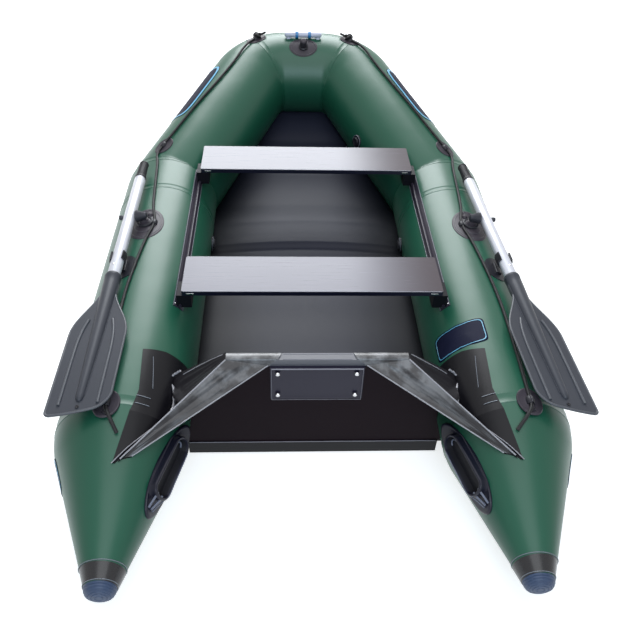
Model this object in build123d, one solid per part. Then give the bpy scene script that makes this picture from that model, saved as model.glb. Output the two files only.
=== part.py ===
"""Keel-bottomed inflatable boat with two slatted seats, a motor transom and two oars.

Frame: millimetres, +Y to the bow, +X to starboard, +Z up. The origin is on the floor
that the boat stands on, under the middle of its length and width.
Pieces are made for the starboard side and mirrored to port.
"""
import os
from math import atan2, cos, degrees, pi, radians, sin, sqrt

from build123d import *

# ---------------------------------------------------------------- driving sizes
overall_length = 2770

tube_radius = 190
tube_centre_x = 573
bow_tube_radius = 187
bow_corner_x = 210
bow_rise = 220
bend_to_bow = 770
corner_gore = 70

cone_length = 411
cone_end_radius = 42
cone_toe_in = 17
cone_end_drop = 11
wear_band_length = 42
wear_band_thickness = 1.5
cap_length = 27
cap_rounding = 20

floor_crown = 140
floor_edge = 85
keel_depth = 45
skin_depth = 14
floor_seat_gap = 0.3
keel_run_in = 250
keel_lift = 4
floor_rise_gap = 10

transom_setback = 130
transom_height = 436
transom_foot = 8
transom_thickness = 22
transom_top_half_width = 263
transom_foot_half_width = 400
transom_shoulder_angle = -55
edge_strip_wall = 3
edge_strip_height = 24
foot_strip_height = 54
fabric_thickness = 2.5
cover_gap = 0.3
cover_inner_edge = 110
cover_free_corner_x = 143
cover_free_corner_drop = 17
cover_reach = 184
cover_tail = 138
cover_ridge_angle = -17
cover_free_angle = -27
patch_reach = 260
patch_tail = 140

motor_plate_width = 274
motor_plate_height = 140
motor_plate_thickness = 6
motor_plate_lip = 6
motor_bolt_spacing_x = 230
motor_bolt_spacing_z = 90
motor_bolt_radius = 7
motor_bolt_head = 3

seat_end_inset = 8
seat_depth = 185
seat_thickness = 18
seat_corner_radius = 6
seat_top = 398
rear_seat_setting = 411
front_seat_setback = 44
rail_angle = -43
rail_base_width = 41
rail_base_thickness = 2
rail_bead_radius = 5
rail_neck = 4
rail_neck_width = 4
rail_start_gap = 315
rail_end_gap = 47
shoe_length = 72
shoe_inboard = 38
shoe_outboard = 9
shoe_hook = 8
slide_gap = 0.4

patch_thickness = 2
rope_radius = 4
rope_gap = 0.6
eye_pad_length = 100
eye_pad_width = 76
eye_length = 26
eye_width = 20
eye_height = 12.6
mid_eye_along = 95
stern_eye_forward = 20
rope_tail = 55
rope_stern_tail = 80
rope_sag_aft = 400

oarlock_setting = 881
oarlock_angle = 8
oarlock_pad_along = 95
oarlock_pad_across = 66
oarlock_pad_thickness = 3
oarlock_boss_radius = 24
oarlock_boss_height = 8
socket_radius = 15
socket_height = 14
lock_eye_inboard = 9.5
post_radius = 8
post_gap = 0.05
swivel_radius = 15
swivel_length = 40
oar_height = 37
oar_offset = 48
pin_radius = 5
pin_knob_radius = 9
pin_knob_length = 14

shaft_radius = 21
shaft_forward = 284
shaft_aft = 326
grip_length = 92
grip_radius = 18
blade_length = 602
blade_width = 166
blade_thickness = 8
blade_tilt_port = 5
blade_tilt_starboard = -2
blade_neck_end = 75
blade_shoulder = 290
blade_end_slant = 12
blade_outer_corner = 14
blade_inner_corner = 36
blade_socket_wall = 4
blade_socket_length = 60
blade_socket_taper = 40
spine_length = 536
spine_start_radius = 19.5
spine_end_radius = 5
rib_radius = 3
rib_start = 218
rib_bend = 325
rib_start_offset = 40
rib_offset = 54
rib_end_gap = 38
keeper_to_blade = 81
keeper_length = 40
keeper_wall = 5
oar_rest_height = 10
oar_rest_length = 54
oar_rest_width = 22
oar_rest_pad_length = 120
oar_rest_pad_width = 90
oar_rest_angle_port = 0
oar_rest_angle_starboard = -2.7

handle_along = -98
handle_angle = -75
handle_base_length = 280
handle_base_width = 112
handle_base_thickness = 4
handle_loop_length = 216
handle_loop_width = 58
handle_slot_length = 150
handle_slot_width = 30
handle_height = 30

bow_eye_angle = 28
bow_pad_length = 133
bow_pad_width = 103
bow_post_radius = 16
bow_post_height = 46
bow_eye_hole_radius = 7
grip_bar_length = 176
grip_bar_radius = 10
grip_collar_radius = 15
grip_collar_length = 12
grip_collar_spacing = 60

badge_thickness = 1.2
badge_length = 365
badge_width = 140
stern_badge_aft = 92
stern_badge_length = 100
stern_badge_width = 60
plate_forward = 322
plate_length = 92
plate_width = 178

valve_setback = 328
bow_valve_along = 400
valve_radius = 30
valve_height = 7
valve_cap_radius = 19
valve_cap_height = 6
# the glued edge of the transom cover: share of its reach or tail, and angle round the tube
cover_tube_edge = ((1.0, -51), (0.65, -53), (0.32, -54), (0.07, -46))
cover_cone_edge = ((0.2, -38), (0.48, -28), (0.72, -18), (1.0, -6))
# outline of the patch under it: angle inboard, and share of its reach forward or tail aft
patch_outline = (
    (16.5, 0.92),
    (38, 0.99),
    (74, 1.0),
    (74, 0.32),
    (53, 0.01),
    (21, -0.84),
    (6.5, -1.0),
    (17.5, 0.09),
    (20, 0.31),
)

# ---------------------------------------------------------------- worked-out places
bow_axis_y = overall_length / 2 - bow_tube_radius
bend_y = bow_axis_y - bend_to_bow
cone_end_y = cap_length - overall_length / 2
knuckle_y = cone_end_y + cone_length
transom_aft_y = knuckle_y + transom_setback
oarlock_y = knuckle_y + oarlock_setting
keeper_at = shaft_aft - keeper_to_blade
transom_front_y = transom_aft_y + transom_thickness + 2 * edge_strip_wall
board_aft_y = transom_aft_y + edge_strip_wall
board_front_y = board_aft_y + transom_thickness
transom_top_z = transom_height
rear_seat_y = transom_front_y + rear_seat_setting
front_seat_y = bend_y - front_seat_setback
rail_start_y = transom_front_y + rail_start_gap
rail_end_y = bend_y - rail_end_gap

knuckle = Vector(tube_centre_x, knuckle_y, tube_radius)
cone_end = Vector(tube_centre_x - cone_toe_in, cone_end_y, tube_radius - cone_end_drop)
bend = Vector(tube_centre_x, bend_y, tube_radius)
bow_corner = Vector(bow_corner_x, bow_axis_y, tube_radius + bow_rise)
bow_direction = (bow_corner - bend).normalized()
gore_start = bow_corner - bow_direction * corner_gore
gore_end = bow_corner + Vector(-corner_gore, 0, 0)
FORWARD = Vector(0, 1, 0)
ACROSS = Vector(-1, 0, 0)
UP = Vector(0, 0, 1)


# ---------------------------------------------------------------- helpers
def mirrored(shape):
    """The same piece on the port side."""
    return mirror(shape, about=Plane.YZ)


def surface_frame(start, end, start_radius, end_radius, along, angle, lift=0):
    """A plane on a tube's skin: x runs along the tube, z points out of the skin.

    along is the distance from start, angle is measured from the top, positive outboard.
    """
    axis = end - start
    length = axis.length
    axis = axis.normalized()
    up = (UP - axis * UP.dot(axis)).normalized()
    outboard = axis.cross(up).normalized()
    radial = up * cos(radians(angle)) + outboard * sin(radians(angle))
    slope = (end_radius - start_radius) / length
    radius = start_radius + slope * along
    normal = (radial - axis * slope).normalized()
    along_skin = (axis + radial * slope).normalized()
    origin = start + axis * along + radial * radius + normal * lift
    return Plane(origin=origin, x_dir=along_skin, z_dir=normal)


def side_frame(y, angle, lift=0):
    """A plane on the straight side tube's skin at station y."""
    return surface_frame(knuckle, bend, tube_radius, tube_radius, y - knuckle_y, angle, lift)


def cone_frame(y, angle, lift=0):
    """A plane on the stern cone's skin at a distance y aft of the knuckle, x pointing forward."""
    length = (knuckle - cone_end).length
    return surface_frame(
        cone_end, knuckle, cone_end_radius, tube_radius, length + y, angle, lift
    )


def bow_side_frame(along, angle, lift=0):
    """A plane on the raking bow tube's skin, along from the bend."""
    return surface_frame(
        bend, bow_corner, bow_tube_radius, bow_tube_radius, along, angle, lift
    )


def bow_front_frame(x, angle, lift=0):
    """A plane on the cross tube's skin at the bow: x across, z out of the skin, angle aft."""
    radial = UP * cos(radians(angle)) - FORWARD * sin(radians(angle))
    origin = Vector(x, bow_axis_y, bow_corner.Z) + radial * (bow_tube_radius + lift)
    return Plane(origin=origin, x_dir=(1, 0, 0), z_dir=radial)


def beyond(plane, size=2 * overall_length):
    """The half space on the positive side of a plane."""
    return plane * Box(size, size, size, align=(Align.CENTER, Align.CENTER, Align.MIN))


def mitre(point, direction_in, direction_out):
    """The plane that halves the turn between two runs of tube."""
    return Plane(origin=point, z_dir=direction_in + direction_out)


def tube_run(start, end, radius, before=0, after=0):
    """A round run of tube, drawn past its ends so that mitres can trim it."""
    axis = (end - start).normalized()
    base = Plane(origin=start - axis * before, z_dir=axis)
    align = (Align.CENTER, Align.CENTER, Align.MIN)
    return base * Cylinder(radius, (end - start).length + before + after, align=align)


def side_tube(extra=0):
    """Straight side tube with its stern cone, trimmed at the bend."""
    run = tube_run(knuckle, bend, tube_radius + extra, after=tube_radius)
    run -= beyond(mitre(bend, FORWARD, bow_direction))
    big_end = Plane(origin=knuckle, x_dir=(1, 0, 0), z_dir=-FORWARD) * Circle(
        tube_radius + extra
    )
    small_end = Plane(origin=cone_end, x_dir=(1, 0, 0), z_dir=-FORWARD) * Circle(
        cone_end_radius + extra
    )
    return run + loft([big_end, small_end], ruled=True)


def bow_tube(extra=0):
    """Raking runs, corner gores and cross tube of the bow as one body of air."""
    gore_direction = (gore_end - gore_start).normalized()
    radius = bow_tube_radius + extra
    raking = tube_run(bend, gore_start, radius, before=radius, after=radius)
    raking -= beyond(mitre(gore_start, bow_direction, gore_direction))
    raking -= beyond(mitre(bend, -FORWARD, -bow_direction))
    gore = tube_run(gore_start, gore_end, radius, before=radius, after=radius)
    gore -= beyond(mitre(gore_start, -bow_direction, -gore_direction))
    gore -= beyond(mitre(gore_end, gore_direction, ACROSS))
    far_end = Vector(-gore_end.X, gore_end.Y, gore_end.Z)
    cross = tube_run(gore_end, far_end, radius, before=radius, after=radius)
    far_gore = Vector(-gore_direction.X, gore_direction.Y, gore_direction.Z)
    cross -= beyond(mitre(gore_end, -gore_direction, -ACROSS))
    cross -= beyond(mitre(far_end, ACROSS, -far_gore))
    return cross + gore + mirrored(gore) + raking + mirrored(raking)


def skin_patch(tube, thick_tube, frame, outline, depth=60):
    """A fabric patch with the given outline, glued to a tube's skin."""
    cutter = extrude(frame * outline, amount=depth, both=True)
    return (cutter & thick_tube) - tube


def sheet(rows, thickness):
    """A thin folded sheet through rows of points, as a closed faceted solid."""
    count = len(rows)
    width = len(rows[0])

    def normal_at(i, j):
        before, after = max(i - 1, 0), min(i + 1, count - 1)
        left, right = max(j - 1, 0), min(j + 1, width - 1)
        down = rows[after][j] - rows[before][j]
        over = rows[i][right] - rows[i][left]
        return over.cross(down).normalized()

    half = thickness / 2
    top = [[rows[i][j] + normal_at(i, j) * half for j in range(width)] for i in range(count)]
    low = [[rows[i][j] - normal_at(i, j) * half for j in range(width)] for i in range(count)]
    faces = []

    def triangle(a, b, c):
        faces.append(Face(Wire.make_polygon([a, b, c], close=True)))

    def quad(a, b, c, d):
        triangle(a, b, c)
        triangle(a, c, d)

    for i in range(count - 1):
        for j in range(width - 1):
            quad(top[i][j], top[i + 1][j], top[i + 1][j + 1], top[i][j + 1])
            quad(low[i][j], low[i][j + 1], low[i + 1][j + 1], low[i + 1][j])
    for j in range(width - 1):
        quad(top[0][j], top[0][j + 1], low[0][j + 1], low[0][j])
        quad(top[-1][j], low[-1][j], low[-1][j + 1], top[-1][j + 1])
    for i in range(count - 1):
        quad(top[i][0], low[i][0], low[i + 1][0], top[i + 1][0])
        quad(top[i][-1], top[i + 1][-1], low[i + 1][-1], low[i][-1])
    return Solid(Shell(faces))


# ---------------------------------------------------------------- hull
starboard_tube = side_tube()
thick_starboard_tube = side_tube(patch_thickness)
bow = bow_tube()
thick_bow = bow_tube(patch_thickness)


def tube_axis_at(y):
    """Tube centre (x, z) at station y, on the side tube or the raking bow tube."""
    past = max(y - bend_y, 0) / bend_to_bow
    x = tube_centre_x - past * (tube_centre_x - bow_corner_x)
    return x, tube_radius + past * bow_rise


# stations down the hull: y, keel height and floor height on the centre line
straight_stations = (
    (transom_front_y, transom_foot, floor_crown),
    (transom_front_y + keel_run_in, 0, floor_crown),
    (bend_y - keel_run_in, 0, floor_crown),
    (bend_y, keel_lift, floor_crown),
)
# share of the run from the bend to the bow, then shares of the bow's rise
bow_stations = ((0.3, 0.15, 0.05), (0.61, 0.5, 0.22), (0.84, 0.82, 0.5), (0.97, 1.05, 0.67))


def hull_sections(upper):
    """Faces across the hull: from keel to middle, or from middle to floor."""
    rows = list(straight_stations)
    for share, keel_share, floor_share in bow_stations:
        y = bend_y + share * bend_to_bow
        rows.append((y, keel_share * bow_rise, floor_crown + floor_share * bow_rise))
    faces = []
    for y, keel, crown in rows:
        x, z = tube_axis_at(y)
        tube_foot = z - tube_radius
        seam_x = x - tube_radius / 2
        seam_z = z - tube_radius * sqrt(3) / 2
        chine = keel + (seam_z - keel) * x / seam_x
        middle = (keel + keel_depth, max(chine, tube_foot) + skin_depth)
        edge = tube_foot + floor_edge - 0.1 * tube_foot
        if upper:
            faces.append(hull_section(y, x, middle, (crown, max(edge, middle[1] + skin_depth)), True))
        else:
            faces.append(hull_section(y, x, (keel, chine), middle, False))
    return faces


def hull_section(y, x, low, high, crowned):
    """One face across the hull, flat-sided below and crowned on top for the floor."""
    low_centre, low_side = low
    high_centre, high_side = high
    outline = Polyline((-x, high_side), (-x, low_side), (0, low_centre), (x, low_side), (x, high_side))
    if crowned:
        lid = ThreePointArc((x, high_side), (0, high_centre), (-x, high_side))
    else:
        lid = Polyline((x, high_side), (0, high_centre), (-x, high_side))
    return Plane.XZ.offset(-y) * make_face(outline + lid)


def between_tubes(body):
    """What is left of a body between the tubes."""
    trimmed = body - starboard_tube - mirrored(starboard_tube) - bow
    return max(trimmed.solids(), key=lambda solid: solid.volume)


def hull_bottom():
    """Fabric bottom drawn down over the inflated keel."""
    return between_tubes(loft(hull_sections(False), ruled=True))


def floor_skin():
    """Soft floor, crowned over the keel."""
    return between_tubes(loft(hull_sections(True), ruled=True))


def wear_band():
    """Rubbing band round the small end of the stern cone."""
    start = cone_frame(0, 0).origin
    band = side_tube(wear_band_thickness) - side_tube()
    keep = Pos(tube_centre_x, cone_end_y + wear_band_length / 2, start.Z / 2) * Box(
        2 * tube_radius, wear_band_length, 3 * tube_radius
    )
    return band & keep


def end_cap():
    """Rounded plug that closes the stern cone."""
    rim = cone_end_radius + wear_band_thickness
    plug = Cylinder(rim, cap_length, align=(Align.CENTER, Align.CENTER, Align.MIN))
    plug = fillet(plug.edges().sort_by(Axis.Z)[-1], min(cap_rounding, rim - 1, cap_length - 1))
    return Plane(origin=cone_end, x_dir=(1, 0, 0), z_dir=-FORWARD) * plug


# ---------------------------------------------------------------- transom
def transom_board():
    """Plywood board that fills the stern between the tubes."""
    shoulder = side_frame(transom_aft_y, transom_shoulder_angle).origin
    inside_x = tube_centre_x - tube_radius / 2
    top = transom_top_z - edge_strip_wall
    half = [
        (0, top),
        (transom_top_half_width, top),
        (shoulder.X, shoulder.Z),
        (inside_x, tube_radius),
        (transom_foot_half_width, 0.3 * tube_radius),
        (transom_foot_half_width, transom_foot),
        (0, transom_foot),
    ]
    outline = Plane.XZ.offset(-board_front_y) * make_face(Polyline(*half, close=True))
    board = extrude(outline, amount=transom_thickness)
    board -= side_tube(floor_seat_gap)
    return board + mirrored(board)


def transom_top_strip():
    """Channel pressed over the board's top edge."""
    width = 2 * transom_top_half_width
    outer = Box(width, transom_front_y - transom_aft_y, edge_strip_height)
    slot = Pos(0, 0, -edge_strip_wall) * Box(width, transom_thickness, edge_strip_height)
    middle_y = (transom_front_y + transom_aft_y) / 2
    return Pos(0, middle_y, transom_top_z - edge_strip_height / 2) * (outer - slot)


def transom_foot_strip():
    """Hull fabric turned up and glued over the foot of the board."""
    width = 2 * transom_foot_half_width
    strip = Box(width, fabric_thickness, foot_strip_height)
    return Pos(0, board_aft_y - fabric_thickness / 2, transom_foot + foot_strip_height / 2) * strip


def motor_plate(face_y, outward):
    """Clamp plate for an outboard motor, with a lip along its top and four bolt heads."""
    top = transom_top_z - edge_strip_height
    middle_z = top - motor_plate_height / 2
    plate = Pos(0, face_y + outward * motor_plate_thickness / 2, middle_z) * Box(
        motor_plate_width, motor_plate_thickness, motor_plate_height
    )
    lip_depth = motor_plate_thickness + motor_plate_lip
    plate += Pos(0, face_y + outward * lip_depth / 2, top - edge_strip_wall / 2) * Box(
        motor_plate_width, lip_depth, edge_strip_wall
    )
    outer_face = face_y + outward * motor_plate_thickness
    for x in (-motor_bolt_spacing_x / 2, motor_bolt_spacing_x / 2):
        for z in (-motor_bolt_spacing_z / 2, motor_bolt_spacing_z / 2):
            head = Plane(origin=(x, outer_face, middle_z + z), z_dir=(0, outward, 0)) * Cylinder(
                motor_bolt_radius, motor_bolt_head, align=(Align.CENTER, Align.CENTER, Align.MIN)
            )
            plate += head
    return plate


def transom_patch():
    """Doubling patch on the tube under the transom cover."""
    points = []
    for angle, share in patch_outline:
        reach = patch_reach if share > 0 else patch_tail
        x = tube_centre_x - (tube_radius + patch_thickness) * sin(radians(angle))
        points.append((x, knuckle_y + share * reach))
    face = Plane.XY.offset(tube_radius) * make_face(Polyline(*points, close=True))
    cutter = extrude(face, amount=2 * tube_radius)
    return (cutter & thick_starboard_tube) - starboard_tube - transom_board()


def transom_cover():
    """Fabric gusset from the transom's top edge down to the tube and stern cone."""
    lift = patch_thickness + fabric_thickness + cover_gap
    over = transom_top_z + fabric_thickness / 2 + cover_gap
    front_corner = Vector(transom_top_half_width, transom_front_y + cover_gap, over)
    aft_corner = Vector(transom_top_half_width, transom_aft_y - cover_gap, over)
    free_y = transom_aft_y - 2 * fabric_thickness
    free_corner = Vector(cover_free_corner_x, free_y, transom_top_z - cover_free_corner_drop)
    front = [front_corner]
    for share, angle in cover_tube_edge:
        front.append(side_frame(knuckle_y + share * cover_reach, angle, lift).origin)
    for share, angle in cover_cone_edge:
        front.append(cone_frame(-share * cover_tail, angle, lift).origin)
    ridge_end = cone_frame(-0.9 * cover_tail, cover_ridge_angle, lift).origin
    free_end = cone_frame(-0.8 * cover_tail, cover_free_angle, lift).origin
    steps = len(front) - 1
    ridge = [aft_corner + (ridge_end - aft_corner) * (i / steps) for i in range(steps + 1)]
    free = [free_corner + (free_end - free_corner) * (i / steps) for i in range(steps + 1)]
    folded = sheet([front, ridge, free], fabric_thickness)
    wrap_width = transom_top_half_width - cover_inner_edge
    wrap_depth = transom_front_y - transom_aft_y + 2 * cover_gap
    wrap = Box(wrap_width, wrap_depth, fabric_thickness)
    middle_x = cover_inner_edge + wrap_width / 2
    return folded + Pos(middle_x, (transom_front_y + transom_aft_y) / 2, over) * wrap


# ---------------------------------------------------------------- seats
def rail_section(clearance):
    """Bead and neck of the seat track, drawn square to the tube's skin, with a clearance."""
    neck = rail_base_thickness + rail_neck
    neck_face = Pos(0, neck / 2) * Rectangle(rail_neck_width + 2 * clearance, neck + rail_bead_radius)
    bead_face = Pos(0, neck + 0.9 * rail_bead_radius) * Circle(rail_bead_radius + clearance)
    return neck_face + bead_face


def rail_plane(y):
    """Plane square to the side tube, x outboard along the skin, y out of it."""
    frame = side_frame(y, rail_angle)
    return Plane(origin=frame.origin, x_dir=-frame.y_dir, z_dir=-FORWARD)


def seat_rail():
    """Glued strip with a beaded track that the seats slide on."""
    half_angle = 90 * rail_base_width / (pi * tube_radius)
    length = rail_end_y - rail_start_y
    frame = side_frame((rail_end_y + rail_start_y) / 2, rail_angle)
    strip = skin_patch(
        starboard_tube,
        side_tube(rail_base_thickness),
        frame,
        Rectangle(length, 2 * tube_radius * sin(radians(half_angle))),
        depth=20,
    )
    track = extrude(rail_plane(rail_start_y) * rail_section(0), amount=-length)
    return strip + (track - starboard_tube)


def track_bead():
    """Centre of the track's bead, seen along the boat."""
    frame = rail_plane(rail_start_y)
    return frame.origin + frame.y_dir * (rail_base_thickness + rail_neck + 0.9 * rail_bead_radius)


def seat_board(y):
    """Film-faced plywood seat with rounded corners."""
    board = Box(2 * (track_bead().X - seat_end_inset), seat_depth, seat_thickness)
    board = fillet(board.edges().filter_by(Axis.Z), seat_corner_radius)
    return Pos(0, y, seat_top - seat_thickness / 2) * board


def seat_shoe(y):
    """Slide under the seat's end, hooked round the bead of the rail."""
    start = y - seat_depth / 2
    bead = track_bead()
    under_seat = seat_top - seat_thickness
    height = under_seat - bead.Z + shoe_hook
    low_corner = (Align.MIN, Align.MIN, Align.MAX)
    block = Box(shoe_inboard + shoe_outboard, shoe_length, height, align=low_corner)
    block = Pos(bead.X - shoe_inboard, start, under_seat) * block
    skin_gap = rail_base_thickness + slide_gap
    block -= tube_run(knuckle, bend, tube_radius + skin_gap)
    channel = extrude(rail_plane(start) * rail_section(slide_gap), amount=-seat_depth)
    return block - channel


def seat_slides(y):
    """Both slides of one seat."""
    shoe = seat_shoe(y)
    return [shoe, mirrored(shoe)]


# ---------------------------------------------------------------- lifeline
def oval(length, width):
    """A pad outline, long way along the tube."""
    return Ellipse(length / 2, width / 2)


def rope_eye(frame):
    """Low bridge that the lifeline passes under, standing on its pad."""
    bridge = Box(eye_length, eye_width, eye_height, align=(Align.CENTER, Align.CENTER, Align.MIN))
    bridge = fillet(bridge.edges().filter_by(Axis.X).sort_by(Axis.Z)[-2:], 5)
    return frame * bridge


mid_eye = bow_side_frame(mid_eye_along, 16)
stern_eye = side_frame(knuckle_y + stern_eye_forward, 4)
lock_eye = side_frame(oarlock_y, oarlock_angle - lock_eye_inboard)
rope_lift = patch_thickness + rope_radius + rope_gap
corner_eye = surface_frame(
    gore_start, gore_end, bow_tube_radius, bow_tube_radius, (gore_end - gore_start).length / 2, 6
)


def rope_points():
    """The starboard lifeline's route, from its tail at the bow to its tail at the stern."""
    corner = corner_eye.offset(rope_lift).origin
    raking_length = (bow_corner - bend).length
    stern = stern_eye.offset(rope_lift).origin
    return [
        corner + Vector(-0.83, 0.47, 0.33) * rope_tail,
        corner,
        bow_side_frame(0.9 * raking_length, 12, rope_lift + rope_radius).origin,
        bow_side_frame(0.63 * raking_length, 15, rope_lift).origin,
        mid_eye.offset(rope_lift).origin,
        side_frame(bend_y - rope_tail, 11, rope_lift).origin,
        side_frame(oarlock_y + oarlock_pad_along, 4.5, rope_lift).origin,
        lock_eye.offset(rope_lift).origin,
        side_frame(oarlock_y - oarlock_pad_along, 4.5, rope_lift).origin,
        side_frame(oarlock_y - rope_sag_aft, 12.5, rope_lift).origin,
        stern,
        side_frame(knuckle_y - 2 * rope_radius, 1, rope_lift).origin,
        cone_frame(-rope_stern_tail, -9, rope_lift).origin,
    ]


def rope_sweep(radius):
    """Solid of the given radius along the lifeline's route."""
    points = rope_points()
    radii = []
    for before, here, after in zip(points, points[1:], points[2:]):
        half_turn = radians((here - before).get_angle(after - here) / 2)
        shorter = min((here - before).length, (after - here).length)
        radii.append(0.45 * shorter * cos(half_turn) / sin(half_turn))
    print("lifeline bend radii:", [round(size) for size in radii])
    path = FilletPolyline(*points, radius=radii)
    return sweep(Plane(origin=points[0], z_dir=points[1] - points[0]) * Circle(radius), path=path)


def lifeline():
    """Rope drawn tight from eye to eye along the top of the tubes."""
    return rope_sweep(rope_radius)


rope_bore = rope_sweep(rope_radius + rope_gap)


def rope_eyes():
    """Lifeline eyes with their pads, one solid each."""
    places = ((bow, thick_bow, mid_eye), (starboard_tube, thick_starboard_tube, stern_eye))
    places += ((bow, thick_bow, corner_eye),)
    eyes = []
    for tube, thick_tube, frame in places:
        pad = skin_patch(tube, thick_tube, frame, oval(eye_pad_length, eye_pad_width))
        eyes.append(pad + (rope_eye(frame) - tube) - rope_bore)
    return eyes + [mirrored(eye) for eye in eyes]


# ---------------------------------------------------------------- oars
lock_frame = side_frame(oarlock_y, oarlock_angle)


def oarlock_base():
    """Moulded base with the socket that the rowlock turns in."""
    pad = skin_patch(
        starboard_tube,
        side_tube(oarlock_pad_thickness),
        lock_frame,
        Ellipse(oarlock_pad_along, oarlock_pad_across),
    )
    low = (Align.CENTER, Align.CENTER, Align.MIN)
    boss = Cylinder(oarlock_boss_radius, oarlock_boss_height, align=low)
    boss += Cylinder(socket_radius, oarlock_boss_height + socket_height, align=low)
    boss += Pos(0, 0, -oarlock_boss_height) * Cylinder(oarlock_boss_radius, oarlock_boss_height, align=low)
    bore = Pos(0, 0, oarlock_boss_height) * Cylinder(post_radius + post_gap, socket_height, align=low)
    base = pad + (lock_frame * boss - starboard_tube) - lock_frame * bore
    return base + (rope_eye(lock_eye) - starboard_tube) - rope_bore


def oar_frame(rest_angle):
    """Frame at the rowlock: x forward along the shaft, y inboard, z out of the tube."""
    return lock_frame * Rot(0, 0, -rest_angle)


def rowlock_swivel():
    """Post, cross barrel and through pin that carry the oar."""
    low = (Align.CENTER, Align.CENTER, Align.MIN)
    post_bottom = oarlock_boss_height + 1
    post = Pos(0, 0, post_bottom) * Cylinder(post_radius, oar_height - post_bottom, align=low)
    inner_end = oar_offset - shaft_radius - 1
    barrel = Pos(0, -inner_end, oar_height) * Rot(-90, 0, 0) * Cylinder(
        swivel_radius - 4, swivel_length, align=low
    )
    pin_length = oar_offset + shaft_radius + 4
    pin = Pos(0, 0, oar_height) * Rot(90, 0, 0) * Cylinder(pin_radius, pin_length, align=low)
    knob = Pos(0, -pin_length, oar_height) * Rot(90, 0, 0) * Cylinder(
        pin_knob_radius, pin_knob_length, align=low
    )
    return post + barrel + pin + knob


def oar_shaft():
    """Aluminium shaft with the hole for the rowlock's pin."""
    tube = Cylinder(shaft_radius, shaft_forward + shaft_aft)
    middle = (shaft_forward - shaft_aft) / 2
    tube = Pos(middle, -oar_offset, oar_height) * Rot(0, 90, 0) * tube
    hole = Pos(0, -oar_offset, oar_height) * Rot(90, 0, 0) * Cylinder(pin_radius, 4 * shaft_radius)
    return tube - hole


def oar_grip():
    """Tapered hand grip on the shaft's forward end."""
    low = (Align.CENTER, Align.CENTER, Align.MIN)
    grip = Cone(grip_radius, grip_radius - 4, grip_length, align=low)
    grip = fillet(grip.edges().sort_by(Axis.Z)[-1], 4)
    return Pos(shaft_forward, -oar_offset, oar_height) * Rot(0, 90, 0) * grip


def blade_edge(x):
    """Half width of the blade at a distance x from its socket's mouth."""
    neck = shaft_radius + blade_socket_wall
    turn = min(max((x - blade_neck_end) / (blade_shoulder - blade_neck_end), 0), 1)
    return neck + (blade_width / 2 - neck) * (1 - cos(pi * turn)) / 2


def blade_plate():
    """Flat of the blade, with one sharp and one round corner, drawn along +X."""
    half = blade_width / 2
    steps = 10
    rise = [blade_neck_end + (blade_shoulder - blade_neck_end) * i / steps for i in range(steps + 1)]
    shoulder = Spline(*[(x, blade_edge(x)) for x in rise], tangents=((1, 0), (1, 0)))
    end = Polyline((blade_shoulder, half), (blade_length, half), (blade_length - blade_end_slant, -half))
    end += Line((blade_length - blade_end_slant, -half), (blade_shoulder, -half))
    neck = Polyline((blade_neck_end, -blade_edge(0)), (0, -blade_edge(0)), (0, blade_edge(0)))
    neck += Line((0, blade_edge(0)), (blade_neck_end, blade_edge(0)))
    outline = shoulder + end + mirror(shoulder, about=Plane.XZ) + neck
    plate = extrude(make_face(outline), amount=blade_thickness / 2, both=True)
    corners = plate.edges().filter_by(Axis.Z).sort_by(Axis.X)[-2:].sort_by(Axis.Y)
    plate = fillet(corners[-1], blade_outer_corner)
    corners = plate.edges().filter_by(Axis.Z).sort_by(Axis.Y)
    inner = [edge for edge in corners if edge.center().X > blade_length - 2 * blade_end_slant][:1]
    return fillet(inner, blade_inner_corner)


def blade_rib(side, face):
    """Stiffening rib on one half of one face, bent in towards the socket."""
    z = face * blade_thickness / 2
    start = Vector(rib_start, side * rib_start_offset, z)
    turn = Vector(rib_bend, side * rib_offset, z)
    tip = Vector(blade_length - rib_end_gap, side * rib_offset, z)
    return tube_run(start, turn, rib_radius) + Pos(turn) * Sphere(rib_radius) + tube_run(turn, tip, rib_radius)


def oar_blade(tilt):
    """Ribbed blade with its socket and tapering spine, drawn aft of the shaft."""
    low = (Align.CENTER, Align.CENTER, Align.MIN)
    socket_size = shaft_radius + blade_socket_wall
    socket = Cylinder(socket_size, blade_socket_length, align=low)
    socket += Pos(0, 0, blade_socket_length) * Cone(
        socket_size, spine_start_radius, blade_socket_taper, align=low
    )
    spine_start = blade_socket_length + blade_socket_taper
    spine = Pos(0, 0, spine_start) * Cone(
        spine_start_radius, spine_end_radius, spine_length - spine_start, align=low
    )
    spine += Pos(0, 0, spine_length) * Sphere(spine_end_radius)
    blade = blade_plate() + Rot(0, 90, 0) * (socket + spine)
    for side in (-1, 1):
        for face in (-1, 1):
            blade += blade_rib(side, face)
    placed = Rot(0, 0, 180) * Rot(tilt, 0, 0) * blade
    return Pos(-shaft_aft, -oar_offset, oar_height) * placed


def oar_keeper():
    """Rubber cuff on the shaft, open on top, that rests over the saddle on the tube."""
    outer = Cylinder(shaft_radius + keeper_wall, keeper_length)
    inner = Cylinder(shaft_radius, keeper_length)
    opening = Pos(-shaft_radius * 1.5, 0, 0) * Box(shaft_radius * 2, 1.3 * shaft_radius, keeper_length)
    cuff = outer - inner - opening
    return Pos(-keeper_at, -oar_offset, oar_height) * Rot(0, 90, 0) * cuff


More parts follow.
